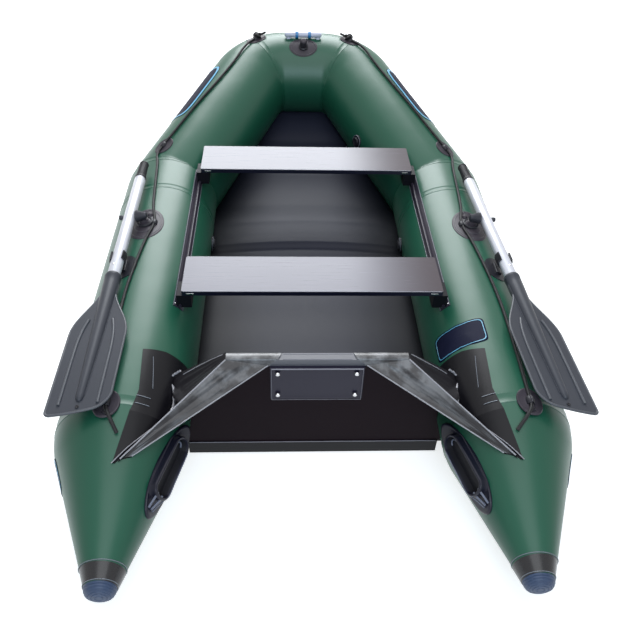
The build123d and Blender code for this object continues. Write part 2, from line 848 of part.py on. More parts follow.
def oar_rest(rest_angle):
    """Pad on the tube with the low saddle that the keeper lies over."""
    outboard = oar_offset - keeper_at * sin(radians(rest_angle))
    across = oarlock_angle + degrees(atan2(outboard, tube_radius + oar_height))
    frame = side_frame(oarlock_y - keeper_at, across)
    pad = skin_patch(starboard_tube, thick_starboard_tube, frame, oval(oar_rest_pad_length, oar_rest_pad_width))
    saddle = Box(oar_rest_length, oar_rest_width, oar_rest_height, align=(Align.CENTER, Align.CENTER, Align.MIN))
    saddle = fillet(saddle.edges().filter_by(Axis.X).sort_by(Axis.Z)[-2:], 6)
    return pad + (frame * saddle - starboard_tube)


# ---------------------------------------------------------------- handles, bow fittings
def carry_handle():
    """Moulded handle on the stern cone: oval base and a raised loop with a slot."""
    frame = cone_frame(handle_along, handle_angle)
    tube = starboard_tube
    base = skin_patch(
        tube, side_tube(handle_base_thickness), frame, oval(handle_base_length, handle_base_width), depth=90
    )
    end = handle_slot_width / 2
    loop = SlotOverall(handle_loop_length, handle_loop_width)
    slot = SlotOverall(handle_slot_length, handle_slot_width)
    ring = extrude(frame * (loop - slot), amount=handle_height)
    ring += extrude(frame * (loop - slot), amount=-end * 2)
    return base + (ring - tube)


def bow_eye():
    """Towing eye on its oval pad, behind the top of the bow tube."""
    frame = bow_front_frame(0, bow_eye_angle)
    pad = skin_patch(bow, thick_bow, frame, oval(bow_pad_length, bow_pad_width))
    low = (Align.CENTER, Align.CENTER, Align.MIN)
    post = Cylinder(bow_post_radius, bow_post_height, align=low)
    post = fillet(post.edges().sort_by(Axis.Z)[-1], 8)
    hole = Pos(0, 0, bow_post_height * 0.62) * Rot(0, 90, 0) * Cylinder(bow_eye_hole_radius, 60)
    return pad + (frame * (post - hole) - bow)


def bow_handle():
    """Round carrying grip across the top of the bow."""
    lift = grip_collar_radius + 1
    frame = bow_front_frame(0, 0, lift)
    return frame * Rot(0, 90, 0) * Cylinder(grip_bar_radius, grip_bar_length)


def bow_handle_collars():
    """Collars that hold the grip down on the bow tube."""
    frame = bow_front_frame(0, 0, grip_collar_radius + 1)
    collars = []
    for x in (-grip_collar_spacing / 2, grip_collar_spacing / 2):
        ring = Rot(0, 90, 0) * Cylinder(grip_collar_radius, grip_collar_length)
        foot = Pos(0, 0, -grip_collar_radius) * Box(
            grip_collar_length, 2 * grip_collar_radius, 2 * grip_collar_radius - 10
        )
        bore = Rot(0, 90, 0) * Cylinder(grip_bar_radius + floor_seat_gap, 2 * grip_collar_length)
        collars.append(frame * (Pos(x, 0, 0) * (ring + foot - bore)) - bow)
    return collars


# ---------------------------------------------------------------- badges and valves
def bow_badge():
    """Blank oval badge on the outer side of the bow."""
    frame = bow_side_frame((bow_corner - bend).length * 0.55, 49)
    return skin_patch(bow, bow_tube(badge_thickness), frame, oval(badge_length, badge_width), depth=80)


def stern_badge():
    """Blank oval badge on the outer side of the stern cone."""
    frame = cone_frame(-stern_badge_aft, 84)
    outline = oval(stern_badge_length, stern_badge_width)
    return skin_patch(starboard_tube, side_tube(badge_thickness), frame, outline, depth=40)


def capacity_plate():
    """Blank plate on the starboard tube's inner top."""
    frame = side_frame(knuckle_y + plate_forward, -38)
    chord = 2 * tube_radius * sin(plate_width / (2 * tube_radius))
    outline = RectangleRounded(plate_length, chord, 12)
    return skin_patch(starboard_tube, side_tube(badge_thickness), frame, outline, depth=60)


def valve(frame, tube):
    """Filling valve: flange and screw cap, sunk to the tube's skin."""
    low = (Align.CENTER, Align.CENTER, Align.MIN)
    body = Pos(0, 0, -6) * Cylinder(valve_radius, valve_height + 6, align=low)
    body += Pos(0, 0, valve_height) * Cylinder(valve_cap_radius, valve_cap_height, align=low)
    return frame * body - tube


def valves():
    """One valve for each side tube, and one for the bow."""
    side = valve(side_frame(bend_y - valve_setback, -97), starboard_tube)
    front = valve(bow_side_frame(bow_valve_along, -84), bow)
    return [side, mirrored(side), front]


# ---------------------------------------------------------------- writing the pieces
def both_sides(name, piece):
    """A piece and its mirror image, named for their sides."""
    return {name + "_starboard": piece, name + "_port": mirrored(piece)}


def oar_pieces(tilt):
    """The pieces that swing with one oar, drawn in its rowlock's frame."""
    return {
        "rowlock": rowlock_swivel(),
        "oar_shaft": oar_shaft(),
        "oar_grip": oar_grip(),
        "oar_blade": oar_blade(tilt),
        "oar_keeper": oar_keeper(),
    }


def as_one(pieces):
    """Like pieces that share a node."""
    return Compound(children=list(pieces))


def build():
    """Every node of the boat."""
    band = wear_band()
    badge = bow_badge()
    small_badge = stern_badge()
    nodes = {
        "tube_bow": bow,
        "hull_bottom": hull_bottom(),
        "floor_skin": floor_skin(),
        "wear_bands": as_one([band, mirrored(band)]),
        "transom_board": transom_board(),
        "transom_top_strip": transom_top_strip(),
        "transom_foot_strip": transom_foot_strip(),
        "motor_plate_outer": motor_plate(board_aft_y, -1),
        "motor_plate_inner": motor_plate(board_front_y, 1),
        "rope_eyes": as_one(rope_eyes()),
        "bow_eye": bow_eye(),
        "bow_handle": bow_handle(),
        "bow_handle_collars": as_one(bow_handle_collars()),
        "badges": as_one([badge, mirrored(badge), small_badge, mirrored(small_badge)]),
        "capacity_plate": capacity_plate(),
        "valves": as_one(valves()),
        "seat_board_front": seat_board(front_seat_y),
        "seat_slides_front": as_one(seat_slides(front_seat_y)),
        "seat_board_rear": seat_board(rear_seat_y),
        "seat_slides_rear": as_one(seat_slides(rear_seat_y)),
    }
    nodes.update(both_sides("tube", starboard_tube))
    nodes.update(both_sides("end_cap", end_cap()))
    nodes.update(both_sides("transom_patch", transom_patch()))
    nodes.update(both_sides("transom_cover", transom_cover()))
    nodes.update(both_sides("seat_rail", seat_rail()))
    nodes.update(both_sides("lifeline", lifeline()))
    nodes.update(both_sides("oarlock_base", oarlock_base()))
    nodes["oar_rest_starboard"] = oar_rest(oar_rest_angle_starboard)
    nodes["oar_rest_port"] = mirrored(oar_rest(oar_rest_angle_port))
    nodes.update(both_sides("carry_handle", carry_handle()))
    for name, piece in oar_pieces(blade_tilt_starboard).items():
        nodes[name + "_starboard"] = oar_frame(oar_rest_angle_starboard) * piece
    for name, piece in oar_pieces(blade_tilt_port).items():
        nodes[name + "_port"] = mirrored(oar_frame(oar_rest_angle_port) * piece)
    return nodes


os.makedirs("parts", exist_ok=True)
for node, shape in build().items():
    export_step(shape, f"parts/{node}.step")
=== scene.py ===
"""Look of a keel-bottomed inflatable boat: fabric, plywood, plastics, welded seams, light and camera."""
import logging
import math
from dataclasses import dataclass
from enum import Enum

import bmesh
import bpy
from mathutils import Matrix, Vector, noise


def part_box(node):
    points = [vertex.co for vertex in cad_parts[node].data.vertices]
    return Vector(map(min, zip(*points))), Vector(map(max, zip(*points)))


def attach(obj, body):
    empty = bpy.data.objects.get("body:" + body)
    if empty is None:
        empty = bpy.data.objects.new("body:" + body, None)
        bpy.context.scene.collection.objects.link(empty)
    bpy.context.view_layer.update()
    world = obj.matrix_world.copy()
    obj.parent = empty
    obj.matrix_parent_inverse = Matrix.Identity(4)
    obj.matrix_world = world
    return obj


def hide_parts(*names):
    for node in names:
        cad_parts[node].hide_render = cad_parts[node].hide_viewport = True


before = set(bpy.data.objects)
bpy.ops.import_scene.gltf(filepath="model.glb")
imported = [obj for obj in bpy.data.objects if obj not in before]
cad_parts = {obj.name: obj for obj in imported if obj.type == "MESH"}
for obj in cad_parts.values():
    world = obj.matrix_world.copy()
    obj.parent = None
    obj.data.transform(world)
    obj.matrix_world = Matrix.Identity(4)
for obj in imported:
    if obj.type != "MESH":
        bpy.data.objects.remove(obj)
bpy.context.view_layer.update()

log = logging.getLogger("boat")
logging.basicConfig(level=logging.INFO, format="%(name)s: %(message)s")

Point = Vector
Colour = tuple[float, float, float]
Piece = bpy.types.Object


def turned(degrees: float, axis: str) -> Matrix:
    """Turn about an axis."""
    return Matrix.Rotation(math.radians(degrees), 4, axis)


# ---------------- sizes read off the frame
class Side(Enum):
    """Side of the boat, with the sign of its x."""

    STARBOARD = 1
    PORT = -1

    @property
    def word(self) -> str:
        """Name used in the frame's nodes."""
        return self.name.lower()


@dataclass(frozen=True)
class TubeRun:
    """A round run of tube with a straight axis, for placing things on its skin.

    Attributes:
        start: Centre of the first end.
        end: Centre of the far end.
        start_radius: Radius at the first end.
        end_radius: Radius at the far end.
    """

    start: Point
    end: Point
    start_radius: float
    end_radius: float

    @property
    def length(self) -> float:
        """Length of the axis."""
        return (self.end - self.start).length

    def radius(self, along: float) -> float:
        """Radius of the skin at a distance from the first end."""
        return self.start_radius + (self.end_radius - self.start_radius) * along / self.length

    def frame(self, along: float, angle: float, lift: float = 0.0) -> Matrix:
        """Local frame on the skin: x along the tube, y outboard to inboard, z out of the skin.

        Args:
            along: Distance from the first end.
            angle: Degrees from the top, positive outboard.
            lift: Distance off the skin.

        Returns:
            A matrix whose columns are the frame's axes and origin.
        """
        axis = (self.end - self.start).normalized()
        up = Vector((0, 0, 1))
        up = (up - axis * up.dot(axis)).normalized()
        side = 1 if self.start.x >= 0 else -1
        outboard = axis.cross(up).normalized() * side
        turn = math.radians(angle)
        radial = up * math.cos(turn) + outboard * math.sin(turn)
        slope = (self.end_radius - self.start_radius) / self.length
        normal = (radial - axis * slope).normalized()
        along_skin = (axis + radial * slope).normalized()
        radius = self.radius(along)
        origin = self.start + axis * along + radial * radius + normal * lift
        across = normal.cross(along_skin)
        matrix = Matrix((along_skin, across, normal)).transposed().to_4x4()
        matrix.translation = origin
        return matrix

    def point(self, along: float, angle: float, lift: float = 0.0) -> Point:
        """Point on or off the skin."""
        return self.frame(along, angle, lift).translation

    def near(self, along: float, angle: float, u: float, v: float, lift: float) -> Point:
        """Point at u along the tube and v round it from a place on the skin."""
        return self.point(along + u, angle + math.degrees(v / self.radius(along)), lift)


class HullFrame:
    """Where the hull's tubes run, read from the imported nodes' boxes.

    Attributes:
        bow_slack: How much smaller the bow tube's radius is than a side tube's.
        cap_proud: How far the end cap's rim stands off the cone's small end.
        knuckle_aft: Distance of the knuckle aft of the transom.
        bend_y: Where the side tube turns into the raking run.
        corner_x: Where the raking run would meet the cross tube.
        corner_gore: Distance of the corner's gore from that meeting.
        oarlock_y: Place of the oarlocks along the boat.
        stern_eye: Angle of the stern rope eye on each side.
    """

    bow_slack = 0.003
    cap_proud = 0.0015
    knuckle_aft = 0.133
    bend_y = 0.428
    corner_x = 0.21
    corner_gore = 0.07
    oarlock_y = -0.066
    stern_eye = {Side.PORT: 4, Side.STARBOARD: 8}

    def __init__(self) -> None:
        tube_low, tube_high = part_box("tube_starboard")
        cap_low, cap_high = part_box("end_cap_starboard")
        bow_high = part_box("tube_bow")[1]
        self.radius = (tube_high.z - tube_low.z) / 2
        self.centre_x = tube_high.x - self.radius
        self.bow_radius = self.radius - self.bow_slack
        self.bow_front = bow_high.y
        self.bow_top = bow_high.z
        self.cap_radius = (cap_high.z - cap_low.z) / 2 - self.cap_proud
        self.cone_end = Vector(((cap_low.x + cap_high.x) / 2, cap_high.y, (cap_low.z + cap_high.z) / 2))
        self.knuckle_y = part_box("transom_board")[0].y - self.knuckle_aft

    def along(self, y: float) -> float:
        """Distance of a y from the knuckle, along a side tube."""
        return y - self.knuckle_y

    def side_tube(self, side: Side) -> TubeRun:
        """Straight part of a side tube, from knuckle to bend."""
        x = self.centre_x * side.value
        start = Vector((x, self.knuckle_y, self.radius))
        end = Vector((x, self.bend_y, self.radius))
        return TubeRun(start, end, self.radius, self.radius)

    def cone(self, side: Side) -> TubeRun:
        """Stern cone, from its small end to the knuckle."""
        small = self.cone_end.copy()
        small.x *= side.value
        return TubeRun(small, self.side_tube(side).start, self.cap_radius, self.radius)

    def bow_centre(self, x: float) -> Point:
        """Point on the cross tube's axis."""
        return Vector((x, self.bow_front - self.bow_radius, self.bow_top - self.bow_radius))

    def bow_side(self, side: Side) -> TubeRun:
        """Raking bow run, from the bend to the corner."""
        bend = self.side_tube(side).end
        corner = self.bow_centre(self.corner_x * side.value)
        return TubeRun(bend, corner, self.bow_radius, self.bow_radius)

    def gore(self, side: Side) -> TubeRun:
        """Short run that turns the corner of the bow."""
        raking = self.bow_side(side)
        start = raking.end - (raking.end - raking.start).normalized() * self.corner_gore
        end = raking.end - Vector((self.corner_gore * side.value, 0, 0))
        return TubeRun(start, end, self.bow_radius, self.bow_radius)

    def bow_cross(self, x: float, angle: float, lift: float = 0.0) -> Matrix:
        """Local frame on the cross tube's skin: x to starboard, z out of the skin.

        Args:
            x: Distance to starboard of the middle.
            angle: Degrees aft from the top.
            lift: Distance off the skin.

        Returns:
            A matrix whose columns are the frame's axes and origin.
        """
        turn = math.radians(angle)
        normal = Vector((0, -math.sin(turn), math.cos(turn)))
        along = Vector((1, 0, 0))
        matrix = Matrix((along, normal.cross(along), normal)).transposed().to_4x4()
        matrix.translation = self.bow_centre(x) + normal * (self.bow_radius + lift)
        return matrix


HULL = HullFrame()
CONE, TUBE = HULL.cone(Side.STARBOARD), HULL.side_tube(Side.STARBOARD)
BOW, GORE = HULL.bow_side(Side.STARBOARD), HULL.gore(Side.STARBOARD)


# ---------------- shader nodes
Socket = bpy.types.NodeSocket


class GroupBuilder:
    """Small helper that adds and links the nodes of a tree."""

    def __init__(self, tree: bpy.types.NodeTree) -> None:
        self.tree = tree

    def feed(self, into: Socket, value: object) -> None:
        """Links a socket to another one, or sets it to a constant; a colour gets its alpha."""
        if isinstance(value, Socket):
            self.tree.links.new(value, into)
        else:
            into.default_value = (*value, 1) if into.type == "RGBA" else value

    def node(self, kind: str, **values: object) -> bpy.types.Node:
        """Adds a node, sets its properties and feeds its inputs.

        Args:
            kind: Node type without the ShaderNode prefix.
            **values: Property names, or input names with underscores for spaces.

        Returns:
            The new node.
        """
        made = self.tree.nodes.new("ShaderNode" + kind)
        for name, value in values.items():
            if hasattr(made, name):
                setattr(made, name, value)
            else:
                self.feed(made.inputs[name.replace("_", " ")], value)
        return made

    def first(self, kind: str) -> bpy.types.Node:
        """First node of a type that the tree holds."""
        return next(node for node in self.tree.nodes if node.type == kind)

    def place(self) -> Socket:
        """Place on the object."""
        return self.node("TexCoord").outputs["Object"]

    def part(self, vector: Socket, axis: str) -> Socket:
        """X, Y or Z of a vector."""
        return self.node("SeparateXYZ", Vector=vector).outputs[axis]

    def math(self, operation: str, *values: object) -> Socket:
        """Result of a sum of up to three values."""
        made = self.node("Math", operation=operation)
        for into, value in zip(made.inputs, values):
            self.feed(into, value)
        return made.outputs[0]

    def scaled(self, value: Socket, low: float, high: float, **values: object) -> Socket:
        """A value stretched from 0..1, or from the range given, to low..high."""
        return self.node("MapRange", Value=value, To_Min=low, To_Max=high, **values).outputs["Result"]

    def eased(self, value: Socket, start: float, end: float, high: float = 1.0, low: float = 0.0) -> Socket:
        """A smooth step from low at start to high at end."""
        return self.scaled(value, low, high, interpolation_type="SMOOTHSTEP", From_Min=start, From_Max=end)

    def noise(self, place: Socket, scale: object, detail: float, roughness: float) -> Socket:
        """Noise from 0 to 1."""
        return self.node("TexNoise", Vector=place, Scale=scale, Detail=detail, Roughness=roughness).outputs[0]

    def mix(self, factor: Socket, first: object, second: object) -> Socket:
        """Mix of two colours."""
        return self.node("Mix", data_type="RGBA", Factor=factor, A=first, B=second).outputs["Result"]

    def bump(self, height: Socket, distance: float, strength: float) -> Socket:
        """Normal of a bumpy surface."""
        return self.node("Bump", Height=height, Distance=distance, Strength=strength).outputs["Normal"]

    def surface(self, **values: object) -> None:
        """Feeds inputs of the tree's Principled shader, named with underscores for spaces."""
        shader = self.first("BSDF_PRINCIPLED")
        for name, value in values.items():
            self.feed(shader.inputs[name.replace("_", " ")], value)


def new_material(name: str) -> tuple[bpy.types.Material, GroupBuilder]:
    """Makes a material with its Principled shader, and the builder of its nodes."""
    material = bpy.data.materials.new(name)
    material.use_nodes = True
    return material, GroupBuilder(material.node_tree)


def grain_group() -> bpy.types.NodeTree:
    """Leather grain as a height, a fine noise for the roughness and a slow drift for the colour."""
    drift_scale, fine_share = 3.0, 0.12
    group = bpy.data.node_groups.new("grain", "ShaderNodeTree")
    group.interface.new_socket("Scale", in_out="INPUT", socket_type="NodeSocketFloat")
    for label in ("Height", "Drift", "Fine"):
        group.interface.new_socket(label, in_out="OUTPUT", socket_type="NodeSocketFloat")
    build = GroupBuilder(group)
    scale = group.nodes.new("NodeGroupInput").outputs["Scale"]
    out = group.nodes.new("NodeGroupOutput")
    place = build.place()
    cells = build.node("TexVoronoi", feature="F1", Vector=place, Scale=scale)
    build.feed(out.inputs["Height"], cells.outputs["Distance"])
    build.feed(out.inputs["Drift"], build.noise(place, drift_scale, 3.0, 0.5))
    build.feed(out.inputs["Fine"], build.noise(place, build.math("MULTIPLY", scale, fine_share), 4.0, 0.6))
    return group


GRAIN = grain_group()


# ---------------- finishes
@dataclass(frozen=True)
class Finish:
    """A surface finish made of procedural nodes.

    Attributes:
        name: Material name.
        colour: Main colour, linear.
        other: Colour that the slow drift moves towards.
        roughness: Middle roughness.
        spread: How far the fine noise moves the roughness.
        metal: Metallic share.
        coat: Clear coat weight.
        coat_roughness: Roughness of the coat.
        grain_scale: Size of the grain, as cells per metre.
        grain_depth: Bump strength of the grain.
        ripple_scale: Size of the slow ripples, as a noise scale.
        ripple_depth: Bump distance of the ripples, in metres.
        specular: Specular level.
    """

    name: str
    colour: Colour
    other: Colour
    roughness: float = 0.45
    spread: float = 0.08
    metal: float = 0.0
    coat: float = 0.0
    coat_roughness: float = 0.2
    grain_scale: float = 900.0
    grain_depth: float = 0.15
    ripple_scale: float = 6.0
    ripple_depth: float = 0.0
    specular: float = 0.5

    def build(self) -> bpy.types.Material:
        """Makes the Blender material."""
        material, build = new_material(self.name)
        grain = build.node("Group", node_tree=GRAIN, Scale=self.grain_scale)
        low, high = max(self.roughness - self.spread, 0.02), min(self.roughness + self.spread, 1.0)
        bump = build.node("Bump", Distance=0.0004, Strength=self.grain_depth, Height=grain.outputs["Height"])
        if self.ripple_depth:
            waves = build.noise(build.place(), self.ripple_scale, 2.0, 0.45)
            build.feed(bump.inputs["Normal"], build.bump(waves, self.ripple_depth, 1.0))
        build.surface(
            Base_Color=build.mix(grain.outputs["Drift"], self.colour, self.other),
            Roughness=build.scaled(grain.outputs["Fine"], low, high),
            Metallic=self.metal, Coat_Weight=self.coat, Coat_Roughness=self.coat_roughness,
            Specular_IOR_Level=self.specular, Normal=bump.outputs["Normal"])
        return material


FINISHES = (
    Finish("tube_green", (0.01, 0.086, 0.049), (0.013, 0.098, 0.057), 0.37, 0.05, coat=0.1,
           coat_roughness=0.36, grain_scale=1400, grain_depth=0.06, ripple_scale=5, ripple_depth=0.0025,
           specular=0.38),
    Finish("bottom_black", (0.01, 0.01, 0.012), (0.016, 0.016, 0.018), 0.5, grain_depth=0.2,
           specular=0.2),
    Finish("patch_black", (0.0035, 0.0033, 0.005), (0.006, 0.0055, 0.008), 0.32, specular=0.18),
    Finish("band_gloss", (0.004, 0.004, 0.006), (0.007, 0.007, 0.01), 0.28, coat=0.25, coat_roughness=0.2,
           specular=0.4),
    Finish("cap_slate", (0.04, 0.065, 0.13), (0.055, 0.085, 0.155), 0.42, grain_depth=0.1, specular=0.35),
    Finish("strip_grey", (0.11, 0.11, 0.125), (0.15, 0.15, 0.17), 0.4),
    Finish("plate_navy", (0.016, 0.014, 0.03), (0.022, 0.019, 0.037), 0.35, grain_depth=0.3,
           specular=0.28),
    Finish("rail_violet", (0.022, 0.018, 0.03), (0.034, 0.028, 0.045), 0.35, specular=0.25),
    Finish("moulded_dark", (0.012, 0.012, 0.017), (0.02, 0.02, 0.027), 0.4, grain_depth=0.1,
           specular=0.25),
    Finish("pad_mauve", (0.044, 0.037, 0.047), (0.06, 0.052, 0.064), 0.4, specular=0.22),
    Finish("rope_black", (0.006, 0.006, 0.007), (0.012, 0.012, 0.014), 0.55, grain_depth=0.4, specular=0.3),
    Finish("handle_lilac", (0.6, 0.62, 0.76), (0.68, 0.7, 0.84), 0.3),
    Finish("collar_blue", (0.02, 0.2, 0.5), (0.03, 0.26, 0.6), 0.3, coat=0.3),
    Finish("badge_navy", (0.005, 0.007, 0.022), (0.009, 0.011, 0.032), 0.5, grain_depth=0.0, specular=0.08),
    Finish("badge_line", (0.09, 0.45, 0.72), (0.11, 0.5, 0.78), 0.35, coat=0.3, grain_depth=0.0),
    Finish("slide_black", (0.006, 0.006, 0.009), (0.01, 0.01, 0.014), 0.45, specular=0.12),
    Finish("rowlock_grey", (0.04, 0.04, 0.05), (0.06, 0.06, 0.074), 0.35, specular=0.3),
    Finish("shaft_silver", (0.72, 0.72, 0.78), (0.8, 0.8, 0.86), 0.32, 0.05, metal=0.25, grain_scale=2500,
           grain_depth=0.05),
    Finish("grip_black", (0.008, 0.008, 0.011), (0.014, 0.014, 0.018), 0.5, specular=0.25),
    Finish("blade_grey", (0.036, 0.039, 0.05), (0.052, 0.056, 0.07), 0.42, grain_depth=0.12,
           specular=0.3),
    Finish("steel", (0.6, 0.6, 0.62), (0.68, 0.68, 0.7), 0.22, metal=1.0, grain_depth=0.02),
    # Painted highlight: paler finish of the blade's rim, ribs and seams.
    Finish("blade_edge", (0.07, 0.074, 0.088), (0.1, 0.105, 0.12), 0.36, specular=0.4),
    Finish("plate_line", (0.1, 0.42, 0.62), (0.13, 0.46, 0.66), 0.35, coat=0.3, grain_depth=0.0),
    # Painted highlight: pale finish of thin raised lips, rims and welds.
    Finish("lip_light", (0.16, 0.18, 0.21), (0.22, 0.24, 0.28), 0.35, grain_depth=0.05),
    # Painted highlight: pale finish of the lines on the transom's plate and strips.
    Finish("trim_line", (0.22, 0.21, 0.25), (0.28, 0.27, 0.31), 0.35, grain_depth=0.05),
    # Painted highlight: pale finish of the line on the seat boards' near edge.
    Finish("seat_line", (0.42, 0.41, 0.46), (0.5, 0.49, 0.54), 0.35, grain_depth=0.05),
    # Painted highlight: pale finish of the cover's piping.
    Finish("cover_piping", (0.3, 0.29, 0.32), (0.42, 0.41, 0.44), 0.35, coat=0.3, grain_depth=0.1),
    Finish("handle_navy", (0.008, 0.008, 0.018), (0.013, 0.013, 0.026), 0.32, grain_depth=0.1,
           specular=0.3),
    Finish("handle_shine", (0.1, 0.115, 0.17), (0.15, 0.17, 0.24), 0.28, coat=0.3, grain_depth=0.0),
    Finish("rope_shine", (0.05, 0.048, 0.06), (0.075, 0.07, 0.085), 0.4),
    Finish("cover_matte", (0.0055, 0.005, 0.007), (0.01, 0.009, 0.012), 0.5, grain_scale=1600,
           grain_depth=0.05, specular=0.15),
    Finish("transom_ply", (0.0075, 0.0036, 0.006), (0.013, 0.0065, 0.01), 0.42, 0.06, grain_scale=500,
           grain_depth=0.2, specular=0.05),
)


def floor_fabric() -> bpy.types.Material:
    """Dark floor cloth with soft bands across the boat, and painted shade darkening it towards the tubes."""
    band_pitch, band_depth = 0.23, 0.0014
    material = Finish("floor_dark", (0.0125, 0.0142, 0.027), (0.0172, 0.019, 0.035), 0.45, 0.05,
                      specular=0.2, grain_depth=0.1).build()
    build = GroupBuilder(material.node_tree)
    drift, grain = build.first("MIX"), build.first("BUMP")
    place = build.place()
    # Painted shade: the colour darkens towards the tubes.
    shade = build.eased(build.math("ABSOLUTE", build.part(place, "X")), 0.1, 0.4, 0.9)
    build.surface(Base_Color=build.mix(shade, drift.outputs["Result"], (0.0022, 0.0024, 0.0038)))
    wave = build.math("SINE", build.math("MULTIPLY", build.part(place, "Y"), 2 * math.pi / band_pitch))
    build.feed(grain.inputs["Normal"], build.bump(wave, band_depth, 0.8))
    return material


def cover_cloth() -> bpy.types.Material:
    """Black coated cloth, with a silver sheen painted into its colour in patches near the transom's top, as a
    painted reflection.
    """
    material = Finish("cover_black", (0.008, 0.0075, 0.01), (0.013, 0.012, 0.016), 0.3, 0.05, coat=0.12,
                      coat_roughness=0.22, grain_scale=1600, grain_depth=0.05, ripple_scale=14,
                      ripple_depth=0.0016, specular=0.42).build()
    build = GroupBuilder(material.node_tree)
    drift = build.first("MIX")
    place = build.place()
    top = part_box("transom_top_strip")[1].z
    # Painted reflection: near the transom's top the colour turns silver in noisy patches, standing in for the
    # glossy cloth's sheen.
    rise = build.eased(build.part(place, "Z"), top - 0.085, top - 0.005)
    painted_sheen_spots = build.eased(build.noise(place, 16.0, 4.0, 0.55), 0.38, 0.62, 0.9)
    sheen = build.math("MULTIPLY", rise, painted_sheen_spots)
    build.surface(Base_Color=build.mix(sheen, drift.outputs["Result"], (0.2, 0.2, 0.21)))
    return material


def plywood(name: str, face: Colour, dark: Colour, edge: Colour, roughness: float) -> bpy.types.Material:
    """Film-faced plywood: smooth film on the faces with a painted shade towards the starboard end, darker
    sealed edges and faint long scratches.

    Args:
        name: Material name.
        face: Colour of the film away from the painted shade.
        dark: Colour of the film at the starboard end, a painted shade.
        edge: Colour of the sealed edges.
        roughness: Roughness of the film.

    Returns:
        The material.
    """
    material, build = new_material(name)
    grain = build.node("Group", node_tree=GRAIN, Scale=600)
    place = build.place()
    # Painted shade: this mask rises towards the starboard end and darkens the film's colour there; it also
    # makes the film rougher there.
    across = build.eased(build.part(place, "X"), 0.1, 0.44)
    stretch = build.node("Mapping", Vector=place, Scale=(3, 120, 120), Rotation=(0, 0, 0.12))
    lines = build.noise(stretch.outputs["Vector"], 2.0, 5.0, 0.7)
    scratch = build.scaled(lines, 0.0, 0.3, From_Min=0.62, From_Max=0.7)
    pale = [min(1, 1.7 * part + 0.02) for part in face]
    film = build.mix(scratch, build.mix(across, face, dark), pale)
    level = build.math("ABSOLUTE", build.part(build.node("NewGeometry").outputs["True Normal"], "Z"))
    rough = build.scaled(lines, roughness - 0.06, roughness + 0.1)
    build.surface(
        Base_Color=build.mix(level, edge, film), Roughness=build.math("MULTIPLY_ADD", across, 0.3, rough),
        Specular_IOR_Level=0.42, Normal=build.bump(grain.outputs["Fine"], 0.0003, 0.15))
    return material


class Palette:
    """Every material of the scene, made once and fetched by name."""

    def __init__(self) -> None:
        self.made = {finish.name: finish.build() for finish in FINISHES}
        self.made["floor_dark"] = floor_fabric()
        self.made["cover_black"] = cover_cloth()
        # The seat film's second colour is the painted shade at its starboard end.
        self.made["seat_ply"] = plywood("seat_ply", (0.14, 0.135, 0.175), (0.04, 0.026, 0.034),
                                        (0.008, 0.009, 0.022), 0.27)

    def __getitem__(self, name: str) -> bpy.types.Material:
        return self.made[name]


PALETTE = Palette()


# ---------------- mesh making
Rows = list[list[Point]]


def turns(count: int, closed: bool = False) -> list[float]:
    """Even angles of one full turn, in radians, with the first one met again at the end if closed."""
    return [2 * math.pi * i / count for i in range(count + closed)]


